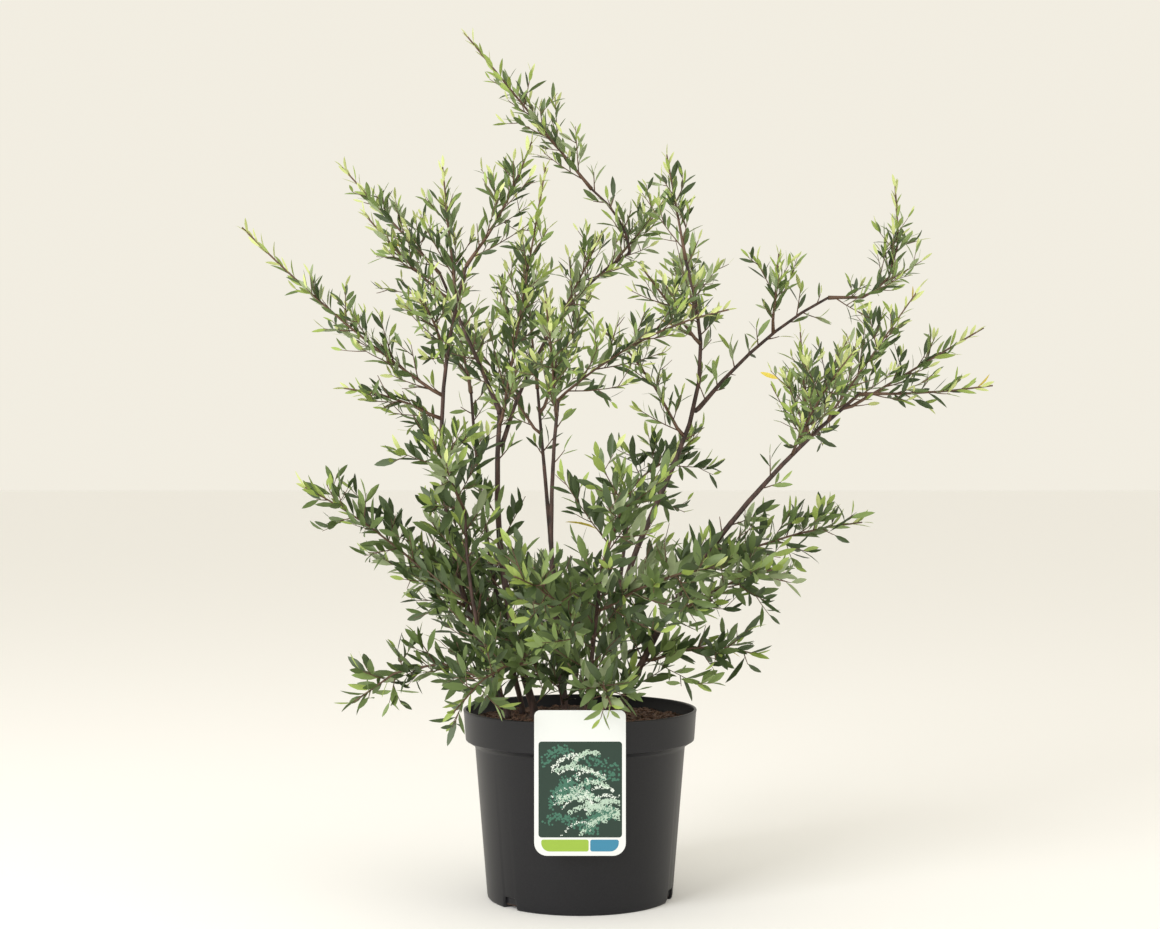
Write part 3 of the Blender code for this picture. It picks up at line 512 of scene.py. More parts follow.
def distances(points, starts, ends):
    """Distance of each point to each straight piece."""
    run = ends - starts
    offset = points[:, None, :] - starts[None, :, :]
    share = np.clip((offset * run).sum(2) / (run * run).sum(1), 0.0, 1.0)
    return np.linalg.norm(offset - run * share[:, :, None], axis=2)


def clear_of_pot(points):
    """True where a point is over the compost and clear of rim, label and the solids' box."""
    radius = np.hypot(points[:, 0], points[:, 1])
    height = points[:, 2]
    inside = (radius < RIM_RADIUS - 8.0) & (height > SOIL_LEVEL + AIR)
    above = height > POT_HEIGHT + AIR
    outside = (radius > RIM_RADIUS + AIR) & (height > 0.72 * POT_HEIGHT)
    on_card = (np.abs(points[:, 0]) < CARD_WIDTH / 2.0 + AIR) & (height < CARD_TOP + AIR)
    on_card &= (points[:, 1] < -RIM_RADIUS + 10.0) & (points[:, 1] > -RIM_RADIUS - 4.0)
    return (inside | above | outside) & ~on_card & ((points > box_low) & (points < box_high)).all(1)


def off_limbs(points, gap):
    """True where a point is further than a gap from every stem and bough."""
    return (distances(points, limb_starts, limb_ends) - limb_radii).min(1) > gap


limb_starts, limb_ends, limb_radii, _ = straight_pieces(limbs)
shoot_starts, shoot_ends, _, shoot_owners = straight_pieces(shoots)
shoot_reach = np.array([shoots[name]["reach"] for name in shoot_owners])
box_low = cad_low / MM + 1.0
box_high = cad_high / MM - 1.0


def held(owner, points):
    """True for each row of sample points that stays wholly in the owner's own space."""
    rows, samples = points.shape[:2]
    flat = points.reshape(-1, 3)
    own_pieces = shoot_owners == owner
    to_shoots = distances(flat, shoot_starts, shoot_ends)
    own = to_shoots[:, own_pieces].min(1)
    other = to_shoots[:, ~own_pieces].min(1)
    inside = (own < shoots[owner]["reach"]) & (other - own > 1.0)
    inside &= off_limbs(flat, LIMB_AIR) & clear_of_pot(flat)
    return inside.reshape(rows, samples).all(1)


def held_by_any(points):
    """True for each row of sample points that stays in the reach of some mass or other."""
    flat = points.reshape(-1, 3)
    near = (distances(flat, shoot_starts, shoot_ends) - shoot_reach).min(1) < 0.0
    inside = near & off_limbs(flat, SIDE_SHOOT_AIR) & clear_of_pot(flat)
    return inside.reshape(points.shape[:2]).all(1)


def turned_sides(headings, turns):
    """Directions square to headings, turned about them from the level by angles."""
    side = np.cross(headings, (0.0, 0.0, 1.0))
    length = np.linalg.norm(side, axis=1)[:, None]
    side = np.where(length > 0.05, side / np.maximum(length, 1e-9), (1.0, 0.0, 0.0))
    other = np.cross(headings, side)
    return side * np.cos(turns)[:, None] + other * np.sin(turns)[:, None]


def unit(vectors):
    """The same directions with length one."""
    return vectors / np.linalg.norm(vectors, axis=-1, keepdims=True)


def leaving(path, shares, turns, spreads, lift):
    """Where things leave a path and the way they point: spread from the heading, lifted."""
    points, headings = along_path(path, shares)
    sides = turned_sides(headings, turns)
    aims = headings * np.cos(spreads)[:, None] + sides * np.sin(spreads)[:, None]
    return points, unit(aims + (0.0, 0.0, lift)), headings


def twig_paths(starts, aims, lengths, rise):
    """Points along each twig, which bends up a little: start + aim s + rise s squared."""
    share = np.linspace(0.0, 1.0, TWIG_POINTS)[None, :, None]
    reach = lengths[:, None, None]
    bend = np.array((0.0, 0.0, 1.0)) * rise * reach * share ** 2
    return starts[:, None, :] + aims[:, None, :] * reach * share + bend


def shortened(starts, aims, lengths, tries, factor, fits):
    """Twig lengths, cut back by a factor again and again where a twig doesn't fit."""
    for _ in range(tries):
        inside = fits(twig_paths(starts, aims, lengths, TWIG_RISE)[:, 1:])
        lengths = np.where(inside, lengths, lengths * factor)
    return lengths


class Growth:
    """Collects the twigs and leaves of all the masses as rows of numbers."""

    def __init__(self):
        self.twigs = []
        self.leaves = []

    def leaf_rows(self, path, shares, size, dice, spray, tipward, broad):
        """One row a leaf: root, aim, normal, length, width, youth and spray number."""
        count = len(shares)
        turns = np.arange(count) * GOLDEN_ANGLE + dice.uniform(0, FULL_TURN)
        turns = turns + dice.uniform(-0.35, 0.35, count)
        spreads = np.radians(dice.uniform(30.0, 58.0, count)) * (1.0 - 0.55 * shares ** 4)
        roots, aims, headings = leaving(path, shares, turns, spreads, 0.30)
        shrink = 1.0 - (0.36 + 0.08 * tipward) * shares ** 3
        lengths = size * dice.uniform(0.72, 1.12, count) * shrink
        normals = unit(headings - aims * (headings * aims).sum(1)[:, None] + (0.0, 0.0, 0.25))
        normals = normals + dice.normal(0.0, 0.55, (count, 3))
        normals = unit(normals - aims * (normals * aims).sum(1)[:, None])
        widths = lengths * dice.uniform(0.19, 0.26, count) * broad
        youth = np.clip((shares - 0.56) / 0.44, 0.0, 1.0) * tipward
        return np.column_stack((roots, aims, normals, lengths, widths, youth,
                                np.full(count, spray)))

    def leaf_up(self, owner, path, size, pitch, dice, spray, tipward, broad):
        """Leaves in turn along one path, closer together towards its tip."""
        length = distances_up(path)[-1]
        count = max(2, int(length / pitch))
        even = (np.arange(count) + dice.uniform(0.3, 0.9, count)) / count
        shares = 0.05 + 0.95 * np.clip(even, 0.0, 1.0) ** 0.75
        rows = self.leaf_rows(path, shares, size, dice, spray, tipward, broad)
        samples = rows[:, None, 0:3] + rows[:, None, 3:6] * (
            rows[:, LENGTH][:, None, None] * np.array((0.35, 0.7, 1.0))[None, :, None]
        )
        keep = held(owner, samples) if owner else held_by_any(samples)
        self.leaves.append(rows[keep])

    def grow(self, number, name):
        """Leaf the shoot, then the side twigs, then the finer twigs on those.

        High in the crown the outer part of a shoot is slender and has single leaves only.
        """
        dice = np.random.default_rng(MASS_SEED + number)
        path, reach = shoots[name]["path"], shoots[name]["reach"]
        length = distances_up(path)[-1]
        habit = LOW_HABIT if MASSES[name][2][2] < LOW_CROWN else HIGH_HABIT
        size, broad, twiggy, wide, pitch = habit
        spray = number * 1000
        self.twigs.append(resampled(rooted(shoots[name]), 12.0))
        self.leaf_up(name, path, size, SHOOT_PITCH, dice, spray, 1.0, broad)
        count = int(length * twiggy / pitch)
        shares = 0.02 + twiggy * (np.arange(count) + dice.uniform(0.2, 0.8, count)) / count
        turns = (np.arange(count) + 0.5) * GOLDEN_ANGLE + dice.uniform(-0.3, 0.3, count)
        spreads = np.radians(dice.uniform(28.0, 56.0, count) + wide)
        starts, aims, _ = leaving(path, shares, turns, spreads, 0.16)
        fall = 1.0 - 0.80 * (shares / (twiggy + 0.12)) ** 1.4
        lengths = 1.35 * reach * dice.uniform(0.55, 1.1, count) * fall
        lengths = shortened(starts, aims, lengths, 6, 0.82, lambda points: held(name, points))
        paths = twig_paths(starts, aims, lengths, TWIG_RISE)
        for run in paths[held(name, paths[:, 1:]) & (lengths > 10.0)]:
            spray += 1
            self.twigs.append((run, np.linspace(0.7, 0.35, TWIG_POINTS)))
            self.leaf_up(name, run, size * 0.9, TWIG_PITCH, dice, spray, 0.9, broad)
            self.finer(name, run, size * 0.8, dice, spray, broad)

    def finer(self, name, run, size, dice, spray, broad):
        """A finer twig for every 20 mm of a side twig, each with its few leaves."""
        count = int(np.linalg.norm(run[-1] - run[0]) / 20.0)
        if count < 1:
            return
        shares = (np.arange(count) + dice.uniform(0.3, 0.7, count)) / count
        turns = np.arange(count) * GOLDEN_ANGLE + dice.uniform(0, FULL_TURN)
        spreads = np.radians(dice.uniform(35.0, 60.0, count))
        starts, aims, _ = leaving(run, shares, turns, spreads, 0.12)
        paths = twig_paths(starts, aims, dice.uniform(12.0, 26.0, count), FINE_RISE)
        for path in paths[held(name, paths[:, 1:])]:
            self.twigs.append((path, np.linspace(0.5, 0.3, TWIG_POINTS)))
            self.leaf_up(name, path, size, FINE_PITCH, dice, spray, 0.8, broad)

    def side_shoots(self, number, name):
        """Short leafy shoots straight off a limb, close together low down and few higher up."""
        dice = np.random.default_rng(LIMB_SEED + number)
        path = limbs[name]["path"]
        length = distances_up(path)[-1]
        count = int(length / SIDE_SHOOT_PITCH)
        shares = (np.arange(count) + dice.random(count)) / count
        turns = np.arange(count) * GOLDEN_ANGLE + dice.uniform(0, FULL_TURN)
        spreads = np.radians(dice.uniform(42.0, 78.0, count))
        starts, aims, _ = leaving(path, shares, turns, spreads, 0.15)
        height = starts[:, 2]
        lengths = dice.uniform(*SIDE_SHOOT_LENGTHS, count)
        lengths = np.where(height > SHORT_ABOVE, lengths * SHORT_SHARE, lengths)
        odds = np.interp(height, SIDE_SHOOT_HEIGHTS, SIDE_SHOOT_ODDS)
        chosen = (dice.random(count) < odds) & (height > POT_HEIGHT)
        lengths = shortened(starts, aims, lengths, 5, 0.8, held_by_any)
        paths = twig_paths(starts, aims, lengths, TWIG_RISE)
        keep = chosen & held_by_any(paths[:, 1:]) & (lengths > 7.0)
        for order, run in enumerate(paths[keep]):
            spray = 90000 + 100 * number + order
            low = run[0, 2] < 400.0
            self.twigs.append((run, np.linspace(0.8, 0.4, TWIG_POINTS)))
            size, broad = (31.0, 1.12) if low else (25.0, 1.0)
            self.leaf_up(None, run, size, SIDE_PITCH, dice, spray, 0.6, broad)


growth = Growth()
for number, name in enumerate(MASSES):
    growth.grow(number, name)
for number, name in enumerate(limbs):
    growth.side_shoots(number, name)
leaf_rows = np.vstack(growth.leaves)
print("twigs", len(growth.twigs), "leaves", len(leaf_rows))

# %% [markdown]
# ## Leaf meshes
#
# A spirea leaf is a narrow lance with a fold along its midrib and a tip that bends down.
# All leaves share one small pattern of ten faces. The pattern is placed for every leaf at
# once, because thousands of separate objects would be slow. The leaves are joined by tint:
# most of a spray has one green, greens are darker low down as painted shade under the
# crown, and young tips are lime.

# %%
# Painted shade: between the lower and the upper of these heights the leaf greens get lighter.
PAINTED_SHADE_HEIGHTS = (250.0, 600.0)
TINT_LIMITS = np.array((0.44, 0.82, 0.95))
PAINTED_SHADE_FALL = np.array((0.18, 0.20, 0.11))
OWN_TINT_ODDS = 0.30
TURNING_ODDS = 0.0012
STATIONS = np.array((0.08, 0.32, 0.62, 0.87))
HALF_WIDTHS = np.array((0.20, 0.90, 1.0, 0.52))
PATTERN = np.array(
    [(0.0, 0.0)]
    + [(station, side * half) for station, half in zip(STATIONS, HALF_WIDTHS)
       for side in (-1.0, 0.0, 1.0)]
    + [(1.0, 0.0)]
)
PATTERN_QUADS = np.array([
    (low + side, low + side + 1, low + side + 4, low + side + 3)
    for low in (1, 4, 7) for side in (0, 1)
])
PATTERN_TRIS = np.array(((0, 2, 1), (0, 3, 2), (10, 11, 13), (11, 12, 13)))


def leaf_mesh(name, rows, finish):
    """All leaves of one tint: root + aim L u + across W v + normal (fold |v| W - droop u u L)."""
    roots, aims, normals = rows[:, 0:3], rows[:, 3:6], rows[:, 6:9]
    lengths, widths = rows[:, LENGTH], rows[:, WIDTH]
    across = np.cross(aims, normals)
    dice = np.random.default_rng(len(rows))
    droop = dice.uniform(-0.02, 0.16, len(rows))
    fold = dice.uniform(0.10, 0.40, len(rows))
    u, v = PATTERN[:, 0], PATTERN[:, 1]
    lift = fold[:, None] * np.abs(v) * widths[:, None] * 0.5
    lift = lift - droop[:, None] * u ** 2 * lengths[:, None]
    points = roots[:, None, :] + aims[:, None, :] * (lengths[:, None] * u)[:, :, None]
    points = points + across[:, None, :] * (widths[:, None] * 0.5 * v)[:, :, None]
    points = points + normals[:, None, :] * lift[:, :, None]
    shift = (np.arange(len(rows)) * len(PATTERN))[:, None, None]
    quads = (PATTERN_QUADS[None] + shift).reshape(-1, 4)
    tris = (PATTERN_TRIS[None] + shift).reshape(-1, 3)
    return joined_mesh(name, [(points.reshape(-1, 3), quads, tris)], finish)


def tint_of(rows):
    """Deal a tint to each leaf by its spray, darker low down as painted shade, and fresh ones to
    young tips.
    """
    sprays, first, order = np.unique(rows[:, SPRAY], return_index=True, return_inverse=True)
    dice = np.random.default_rng(TINT_SEED)
    names = np.array(("deep", "mid", "fresh", "pale"))
    draw = np.where(dice.random(len(rows)) < OWN_TINT_ODDS, dice.random(len(rows)),
                    dice.random(len(sprays))[order])
    # Painted shade: the spray's height share lowers the limits, so low sprays draw darker greens.
    high = np.interp(rows[first, 2][order], PAINTED_SHADE_HEIGHTS, (0.0, 1.0))
    limits = TINT_LIMITS - PAINTED_SHADE_FALL * high[:, None]
    tint = names[(draw[:, None] > limits).sum(1)]
    youth = rows[:, YOUTH] * np.interp(rows[:, 2], (300.0, 520.0), (0.30, 1.0))
    tint = np.where(youth > 0.05 + 0.45 * dice.random(len(rows)), "lime", tint)
    tint = np.where(youth > 0.38 + 0.40 * dice.random(len(rows)), "tip", tint)
    return np.where(dice.random(len(rows)) < TURNING_ODDS, "turning", tint)


tints = tint_of(leaf_rows)
for tint in LEAF_TINTS:
    piece = leaf_mesh("leaves_" + tint, leaf_rows[tints == tint], leaf_finish[tint])
    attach(piece, "root")
    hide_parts(*MASSES)
    print(tint, len(piece.data.polygons), "faces")

twig_parts = []
for path, radii in growth.twigs:
    twig_parts.append(tube_mesh(np.array(path), np.array(radii), 4, 0.0, 0.0))
twigs = joined_mesh("twigs", twig_parts, twig_finish)
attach(twigs, "root")
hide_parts(*MASSES)
print("twig faces", len(twigs.data.polygons))

# %% [markdown]
# ## Pot
#
# The nursery pot is blown or moulded black plastic with a stepped collar, a rolled lip and
# notches cut up into its foot. It is made again as one turned surface with a round lip. The
# notches are taken by lifting the lowest rings of the wall wherever a notch is, which keeps
# the wall one closed surface where cutting would leave ragged edges.

# %%
POT_SIDES = 288
COLLAR_FOOT = POT_HEIGHT - COLLAR_HEIGHT
SHOULDER = COLLAR_FOOT - SHOULDER_DROP
POLE = 0.02
MIDDLE = 60.0
ABOVE_NOTCH = 12.5
LIP = 1.3
FOOT_BAND = 4.0
INNER_ROWS = 9
NOTCH_EDGE = 1.2


def arc(centre, radius, first, last, steps):
    """Points of an arc in (radius, height), from one angle to another in degrees."""
    angle = np.radians(np.linspace(first, last, steps))
    return np.stack((centre[0] + radius * np.cos(angle), centre[1] + radius * np.sin(angle)), -1)


POT_PROFILE = np.vstack((
    [(POLE, FLOOR), (MIDDLE, FLOOR), (FOOT_RADIUS - 4.0, FLOOR), (FOOT_RADIUS - WALL, FLOOR + 2.0)],
    [(FOOT_RADIUS - WALL + 0.4, ABOVE_NOTCH), (BODY_RADIUS - WALL, SHOULDER)],
    [(BODY_RADIUS - WALL + 0.8, SHOULDER + 0.8), (COLLAR_FOOT_RADIUS - WALL, COLLAR_FOOT)],
    [(RIM_RADIUS - 2.6, POT_HEIGHT - 1.6)],
    arc((RIM_RADIUS - LIP, POT_HEIGHT - LIP), LIP, 170.0, -10.0, 10),
    [(RIM_RADIUS - 0.5, POT_HEIGHT - 3.6), (COLLAR_FOOT_RADIUS + 0.1, COLLAR_FOOT + 1.2)],
    arc((COLLAR_FOOT_RADIUS - 1.0, COLLAR_FOOT + 0.4), 1.0, -10.0, -80.0, 4),
    [(BODY_RADIUS + 1.6, SHOULDER + 1.6), (BODY_RADIUS + 0.4, SHOULDER + 0.2)],
    [(BODY_RADIUS - 0.1, SHOULDER - 1.2), (FOOT_RADIUS + 0.95, ABOVE_NOTCH)],
    [(FOOT_RADIUS + 0.1, 3.2), (FOOT_RADIUS - 0.2, 1.4), (FOOT_RADIUS - 1.2, 0.2)],
    [(FOOT_RADIUS - 2.4, 0.0), (MIDDLE, 0.0), (POLE, 0.0)],
))


def notch_depth(turn):
    """How high the foot is cut at each compass angle, falling off over a steep edge."""
    off = [(turn - math.radians(compass) + np.pi) % (2.0 * np.pi) - np.pi
           for compass in NOTCH_COMPASS]
    across = np.abs(np.stack(off)).min(0) * FOOT_RADIUS
    edge = (NOTCH_WIDTH / 2.0 + NOTCH_EDGE / 2.0 - across) / NOTCH_EDGE
    return NOTCH_HEIGHT * np.clip(edge, 0.0, 1.0)


def turned_grid(profile, sides):
    """A profile of (radius, height) turned about Z, with its faces."""
    turn = np.linspace(0.0, 2.0 * np.pi, sides, endpoint=False)
    radius, height = profile[:, 0][:, None], profile[:, 1][:, None]
    points = np.stack(
        (radius * np.cos(turn), radius * np.sin(turn), height + 0.0 * turn), axis=-1
    )
    quads = ring_quads(len(profile), sides)[:, (0, 3, 2, 1)]
    return points, quads, turn


pot_points, pot_quads, pot_turn = turned_grid(POT_PROFILE, POT_SIDES)
depth = notch_depth(pot_turn)
foot_rows = np.where((POT_PROFILE[:, 1] < FOOT_BAND) & (POT_PROFILE[:, 0] > MIDDLE))[0]
outer_foot = foot_rows[foot_rows >= INNER_ROWS]
pot_points[outer_foot, :, 2] = np.maximum(pot_points[outer_foot, :, 2], depth[None, :])
pot = joined_mesh("pot_shell", [(pot_points.reshape(-1, 3), pot_quads, NO_TRIS)], pot_finish)
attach(pot, "root")
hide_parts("pot")
print("pot faces", len(pot.data.polygons))

# %% [markdown]
# ## Compost
#
# Peat with bits of bark lies just under the lip. Its surface is a disc of rings with small
# heaps and hollows, and a few hundred flat chips lie on it at odd angles.

# %%
soil_dice = np.random.default_rng(SOIL_SEED)
SOIL_AIR = 0.6
SOIL_SHARE = (SOIL_LEVEL - COLLAR_FOOT) / COLLAR_HEIGHT
WALL_THERE = COLLAR_FOOT_RADIUS + (RIM_RADIUS - COLLAR_FOOT_RADIUS) * SOIL_SHARE
SOIL_RADIUS = WALL_THERE - 1.5 * WALL - SOIL_AIR
SOIL_POLE = 0.4
SOIL_RINGS, SOIL_SIDES = 60, 160
HEAP_WAVES = ((0.05, 0.9), (0.11, 0.7), (0.23, 0.5), (0.51, 0.35))
HEAP_SCALE = 0.55
CHIP_COUNT = 1500
CHIP_LENGTHS, CHIP_WIDTHS, CHIP_DEPTHS = (1.5, 5.0), (1.0, 2.6), (0.3, 0.9)


def heaps(x, y):
    """Height of the compost above its level: a sum of crossed waves of several lengths."""
    total = 0.0 * x
    for wave, size in HEAP_WAVES:
        way, phase = soil_dice.uniform(0.0, FULL_TURN, 2)
        along = x * np.cos(way) + y * np.sin(way)
        across = y * np.cos(way) - x * np.sin(way)
        total = total + size * (np.sin(wave * along + phase) + np.cos(wave * across + way))
    return total * HEAP_SCALE


rings = np.linspace(SOIL_POLE, SOIL_RADIUS, SOIL_RINGS)
rings_profile = np.vstack((
    np.stack((rings, np.full(SOIL_RINGS, SOIL_LEVEL)), -1),
    [(BODY_RADIUS - WALL - SOIL_AIR, SHOULDER), (FOOT_RADIUS - WALL - SOIL_AIR, FLOOR + GAP)],
    [(SOIL_POLE, FLOOR + GAP)],
))[::-1]
soil_points, soil_quads, _ = turned_grid(rings_profile, SOIL_SIDES)
top = rings_profile[:, 1] > SOIL_LEVEL - 1.0
soil_points[top, :, 2] += heaps(soil_points[top, :, 0], soil_points[top, :, 1])
soil_part = (soil_points.reshape(-1, 3), soil_quads[:, ::-1], NO_TRIS)
soil = joined_mesh("compost_heap", [soil_part], soil_finish)
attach(soil, "root")
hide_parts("soil")

UNIT_BOX = np.array([(-1, -1, -1), (1, -1, -1), (1, 1, -1), (-1, 1, -1),
                     (-1, -1, 1), (1, -1, 1), (1, 1, 1), (-1, 1, 1)], dtype=float)
BOX_QUADS = np.array([(0, 3, 2, 1), (4, 5, 6, 7), (0, 1, 5, 4),
                      (1, 2, 6, 5), (2, 3, 7, 6), (3, 0, 4, 7)])


def chips(count, dice):
    """Flat bark chips: a box squeezed at one end, turned at random and strewn by area."""
    radius = (SOIL_RADIUS - 6.0) * np.sqrt(dice.random(count))
    turn = dice.uniform(0.0, FULL_TURN, count)
    place = np.stack((radius * np.cos(turn), radius * np.sin(turn), np.zeros(count)), -1)
    place[:, 2] = SOIL_LEVEL + dice.uniform(0.2, 1.4, count)
    size = np.stack((dice.uniform(*CHIP_LENGTHS, count), dice.uniform(*CHIP_WIDTHS, count),
                     dice.uniform(*CHIP_DEPTHS, count)), -1)
    corner = UNIT_BOX[None] * size[:, None, :] * dice.uniform(0.65, 1.0, (count, 8, 3))
    yaw, tilt = dice.uniform(0.0, FULL_TURN, count), dice.uniform(-0.4, 0.4, count)
    x = corner[:, :, 0] * np.cos(tilt)[:, None] - corner[:, :, 2] * np.sin(tilt)[:, None]
    z = corner[:, :, 0] * np.sin(tilt)[:, None] + corner[:, :, 2] * np.cos(tilt)[:, None]
    y = corner[:, :, 1]
    across = x * np.cos(yaw)[:, None] - y * np.sin(yaw)[:, None]
    deep = x * np.sin(yaw)[:, None] + y * np.cos(yaw)[:, None]
    points = np.stack((across, deep, z), -1) + place[:, None, :]
    quads = (BOX_QUADS[None] + (np.arange(count) * 8)[:, None, None]).reshape(-1, 4)
    return points.reshape(-1, 3), quads, NO_TRIS


chip_part = chips(CHIP_COUNT, soil_dice)
chip_piece = joined_mesh("bark_chips", [chip_part], chip_finish, smooth=False)
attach(chip_piece, "root")
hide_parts("soil")
print("compost faces", len(soil.data.polygons) + len(chip_piece.data.polygons))

# %% [markdown]
# ## Label
#
# A printed card hangs over the rim in front. It carries a generic picture panel of pale
# sprays on dark green, a lime field and a blue field, and no words. Each field is a thin
# plate of its own just proud of the card, and the sprays are small petals laid on the panel.

# %%
CARD_FRONT = -RIM_RADIUS - GAP - CARD_THICK
STRAP_HALF = STRAP_WIDTH / 2.0
CARD_OVERLAP, TONGUE_OVERLAP = 0.3, 0.4
PRINT_THICK = 0.05
PETAL_LIFT = 0.02
FIELD_ROUGHNESS, PETAL_ROUGHNESS = 0.32, 0.4
SPRAY_BOUGHS, SPRAY_HEADS = 11, 13
SPRAY_LENGTH, SPRAY_DROOP = 46.0, 0.012
PICTURE_HALF, PICTURE_LOW, PICTURE_HIGH = 36.8, 81.0, 166.0


def outline_of(left, right, low, high, corners, steps=8):
    """A rectangle's outline in (x, z) with four corner radii: upper right first, then on."""
    upper_right, upper_left, lower_left, lower_right = corners
    return np.vstack((
        arc((right - upper_right, high - upper_right), upper_right, 0.0, 90.0, steps),
        arc((left + upper_left, high - upper_left), upper_left, 90.0, 180.0, steps),
        arc((left + lower_left, low + lower_left), lower_left, 180.0, 270.0, steps),
        arc((right - lower_right, low + lower_right), lower_right, 270.0, 360.0, steps),
    ))


def plate(outline, front, thick):
    """A flat plate in the XZ plane: the outline in front and behind, fanned from its middle."""
    count = len(outline)
    middle = outline.mean(0)
    front_points = np.column_stack((outline[:, 0], np.full(count, front), outline[:, 1]))
    back_points = front_points + (0.0, thick, 0.0)
    centres = np.array(((middle[0], front, middle[1]), (middle[0], front + thick, middle[1])))
    points = np.vstack((front_points, back_points, centres))
    here = np.arange(count)
    after = (here + 1) % count
    sides = np.stack((here + count, after + count, after, here), -1)
    faces = np.stack((here, after, np.full(count, 2 * count)), -1)
    backs = np.stack((after + count, here + count, np.full(count, 2 * count + 1)), -1)
    return points, sides, np.vstack((faces, backs))


def box_part(low, high):
    """A box between two corners."""
    low, high = np.array(low, dtype=float), np.array(high, dtype=float)
    return (low + high) / 2.0 + UNIT_BOX * (high - low) / 2.0, BOX_QUADS, NO_TRIS


half = CARD_WIDTH / 2.0
card_outline = outline_of(-half, half, CARD_BOTTOM, CARD_TOP,
                          (CARD_TOP_CORNER, CARD_TOP_CORNER,
                           CARD_BOTTOM_CORNER, CARD_BOTTOM_CORNER))
inner = GAP - math.sqrt((COLLAR_FOOT_RADIUS - WALL) ** 2 - STRAP_HALF ** 2)
strap_under = POT_HEIGHT + GAP
card = joined_mesh("label_card", [
    plate(card_outline, CARD_FRONT, CARD_THICK),
    box_part((-STRAP_HALF, CARD_FRONT + CARD_THICK - CARD_OVERLAP, strap_under),
             (STRAP_HALF, inner + STRAP_THICK, strap_under + STRAP_THICK)),
    box_part((-STRAP_HALF, inner, SOIL_LEVEL + GAP),
             (STRAP_HALF, inner + STRAP_THICK, strap_under + TONGUE_OVERLAP)),
], card_finish, smooth=False)
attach(card, "root")
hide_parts("label")

# Left, right, low and high sides, four corner radii, and the colour of each printed field.
fields = {
    "label_panel": ((-38.5, 39.0, 79.0, 168.0), (3.0, 3.0, 3.0, 3.0), (0.006, 0.026, 0.016)),
    "label_lime": ((-36.0, 8.0, 66.0, 77.0), (2.0, 2.0, 8.0, 2.0), (0.260, 0.400, 0.040)),
    "label_blue": ((9.5, 36.0, 66.0, 77.0), (2.0, 2.0, 2.0, 8.0), (0.030, 0.190, 0.310)),
}
prints = []
for name, (sides, corners, colour) in fields.items():
    part = plate(outline_of(*sides, corners), CARD_FRONT - PRINT_THICK, PRINT_THICK)
    prints.append((name, part, plain_finish(name, colour, FIELD_ROUGHNESS)))

print_dice = np.random.default_rng(PRINT_SEED)


def petals(count, head_size, petal_size, dice):
    """Petals in round heads along arching boughs, each petal a small five-sided fan.

    Each bough starts at its own x and z, runs at its own angle, and falls by its run squared.
    """
    boughs = SPRAY_BOUGHS
    bough = np.repeat(np.arange(boughs), SPRAY_HEADS)
    start_x, start_z = dice.uniform(-36.0, 10.0, boughs), dice.uniform(76.0, 150.0, boughs)
    angle = np.radians(dice.uniform(5.0, 70.0, boughs))
    run = np.tile(np.linspace(0.0, SPRAY_LENGTH, SPRAY_HEADS), boughs)
    run = run + dice.uniform(0.0, 3.0, len(bough))
    head_x = start_x[bough] + run * np.cos(angle[bough])
    head_z = start_z[bough] + run * np.sin(angle[bough]) - SPRAY_DROOP * run ** 2
    pick = dice.integers(0, len(bough), count)
    away = head_size * np.sqrt(dice.random(count))
    way = dice.uniform(0.0, FULL_TURN, count)
    x, z = head_x[pick] + away * np.cos(way), head_z[pick] + away * np.sin(way)
    keep = (z > PICTURE_LOW) & (z < PICTURE_HIGH) & (np.abs(x) < PICTURE_HALF)
    x, z = x[keep], z[keep]
    size = petal_size * dice.uniform(0.7, 1.2, len(x))
    turn = np.linspace(0.0, 2.0 * np.pi, 5, endpoint=False)[None] + dice.random(len(x))[:, None]
    ring_x = x[:, None] + size[:, None] * np.cos(turn)
    ring_z = z[:, None] + size[:, None] * np.sin(turn)
    print_front = CARD_FRONT - PRINT_THICK
    lower = np.stack((ring_x, np.full_like(ring_x, print_front - PETAL_LIFT), ring_z), -1)
    layer = print_front - PRINT_THICK * (1.0 + dice.random(len(x)))
    points = np.concatenate((lower, np.column_stack((x, layer, z))[:, None, :]), axis=1)
    fan = np.array([(i, (i + 1) % 5, 5) for i in range(5)])
    tris = (fan[None] + (np.arange(len(x)) * 6)[:, None, None]).reshape(-1, 3)
    return points.reshape(-1, 3), NO_QUADS, tris


for name, count, head, size, colour in (
    ("label_sprays_far", 900, 5.0, 1.1, (0.035, 0.130, 0.085)),
    ("label_sprays", 2600, 2.3, 0.62, (0.380, 0.500, 0.400)),
    ("label_sprays_near", 900, 1.6, 0.55, (0.640, 0.700, 0.640)),
):
    part = petals(count, head, size, print_dice)
    prints.append((name, part, plain_finish(name, colour, PETAL_ROUGHNESS)))
for name, part, finish in prints:
    piece = joined_mesh(name, [part], finish, smooth=False)
    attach(piece, "root")
    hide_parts("label")
print("label pieces made")

# %% [markdown]
# ## Stage, light and camera
#
# A wide pale floor, one large soft light from the upper left, a weaker one from the right,
# and a warm white surround that gives most of the light, as in a studio. These are metres.
# The camera is level and as far and as high as the ellipses of the pot's rim and foot say.

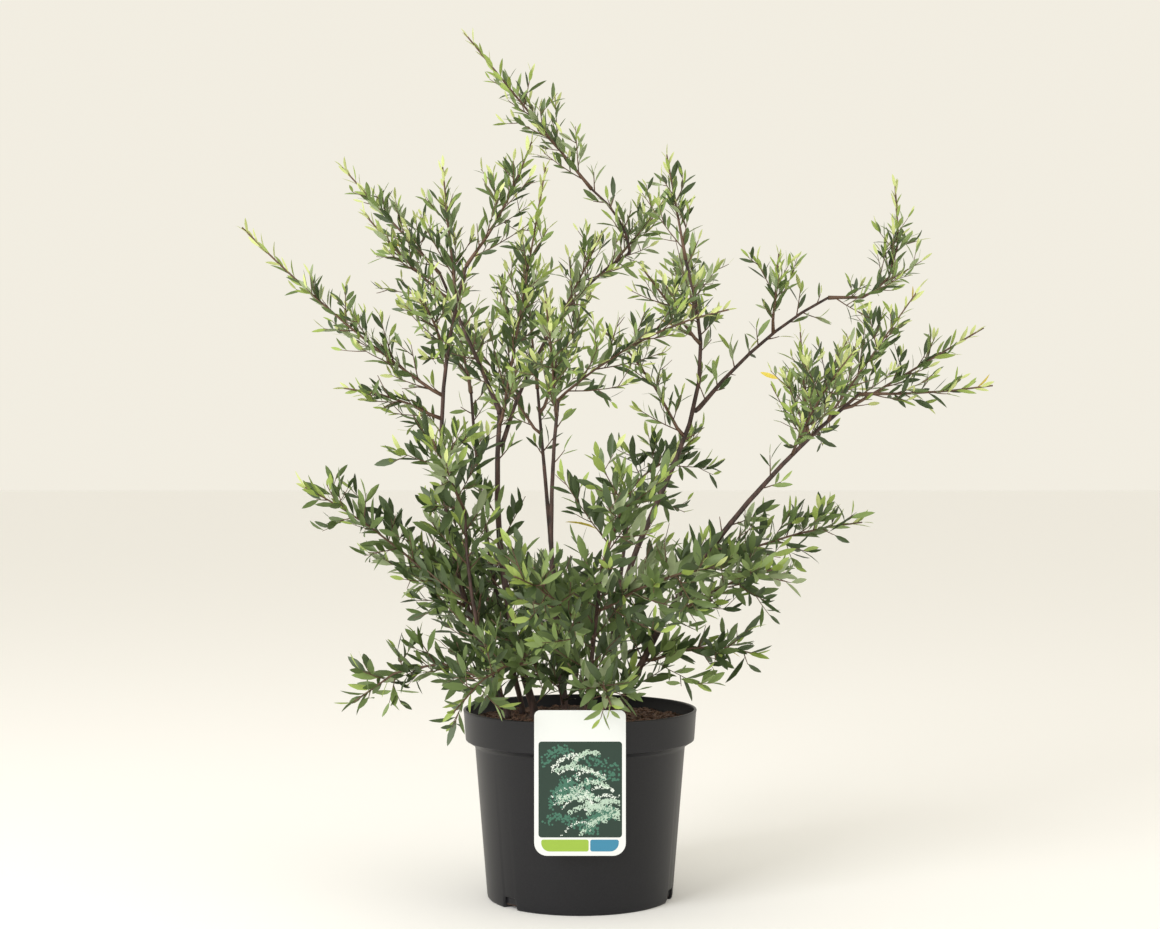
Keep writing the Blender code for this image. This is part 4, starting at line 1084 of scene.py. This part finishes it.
# %%
FLOOR_HALF = 30.0
AIM = (0.0, 0.0, 0.45)
KEY_PLACE, KEY_SIZE, KEY_WATTS = (-1.9, -2.2, 1.35), 1.4, 70.0
FILL_PLACE, FILL_SIZE, FILL_WATTS = (2.2, -1.6, 0.9), 1.8, 12.0
SURROUND, SURROUND_STRENGTH = (0.945, 0.905, 0.805, 1.0), 0.94
CAMERA_PLACE, CAMERA_LENS, SENSOR_WIDTH, NEAR_CLIP = (0.0, -1.925, 0.425), 60.52, 36.0, 0.05

floor_corners = (UNIT_BOX[:4] * (FLOOR_HALF, FLOOR_HALF, 0.0)).tolist()
floor_mesh = bpy.data.meshes.new("floor")
floor_mesh.from_pydata(floor_corners, [], [(0, 1, 2, 3)])
floor_mesh.materials.append(plain_finish("floor_paper", (0.955, 0.95, 0.94), 0.9))
floor = bpy.data.objects.new("floor", floor_mesh)
scene.collection.objects.link(floor)
floor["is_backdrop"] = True

world = bpy.data.worlds.new("studio")
scene.world = world
world.use_nodes = True
world.node_tree.nodes["Background"].inputs["Color"].default_value = SURROUND
world.node_tree.nodes["Background"].inputs["Strength"].default_value = SURROUND_STRENGTH


def soft_light(name, place, aim, size, power):
    """A square area light at a place, turned towards a point."""
    data = bpy.data.lights.new(name, "AREA")
    data.energy = power
    data.size = size
    light = bpy.data.objects.new(name, data)
    light.location = place
    way = np.array(aim) - np.array(place)
    yaw = math.atan2(way[1], way[0]) - math.pi / 2.0
    pitch = math.atan2(way[2], math.hypot(way[0], way[1])) + math.pi / 2.0
    light.rotation_euler = (pitch, 0.0, yaw)
    scene.collection.objects.link(light)


soft_light("key", KEY_PLACE, AIM, KEY_SIZE, KEY_WATTS)
soft_light("fill", FILL_PLACE, AIM, FILL_SIZE, FILL_WATTS)

camera_data = bpy.data.cameras.new("camera")
camera_data.sensor_width = SENSOR_WIDTH
camera_data.lens = CAMERA_LENS
camera_data.clip_start = NEAR_CLIP
camera = bpy.data.objects.new("camera", camera_data)
camera.location = CAMERA_PLACE
camera.rotation_euler = (math.pi / 2.0, 0.0, 0.0)
scene.collection.objects.link(camera)
scene.camera = camera
scene.view_settings.view_transform = "Standard"

# %%
bpy.context.view_layer.update()
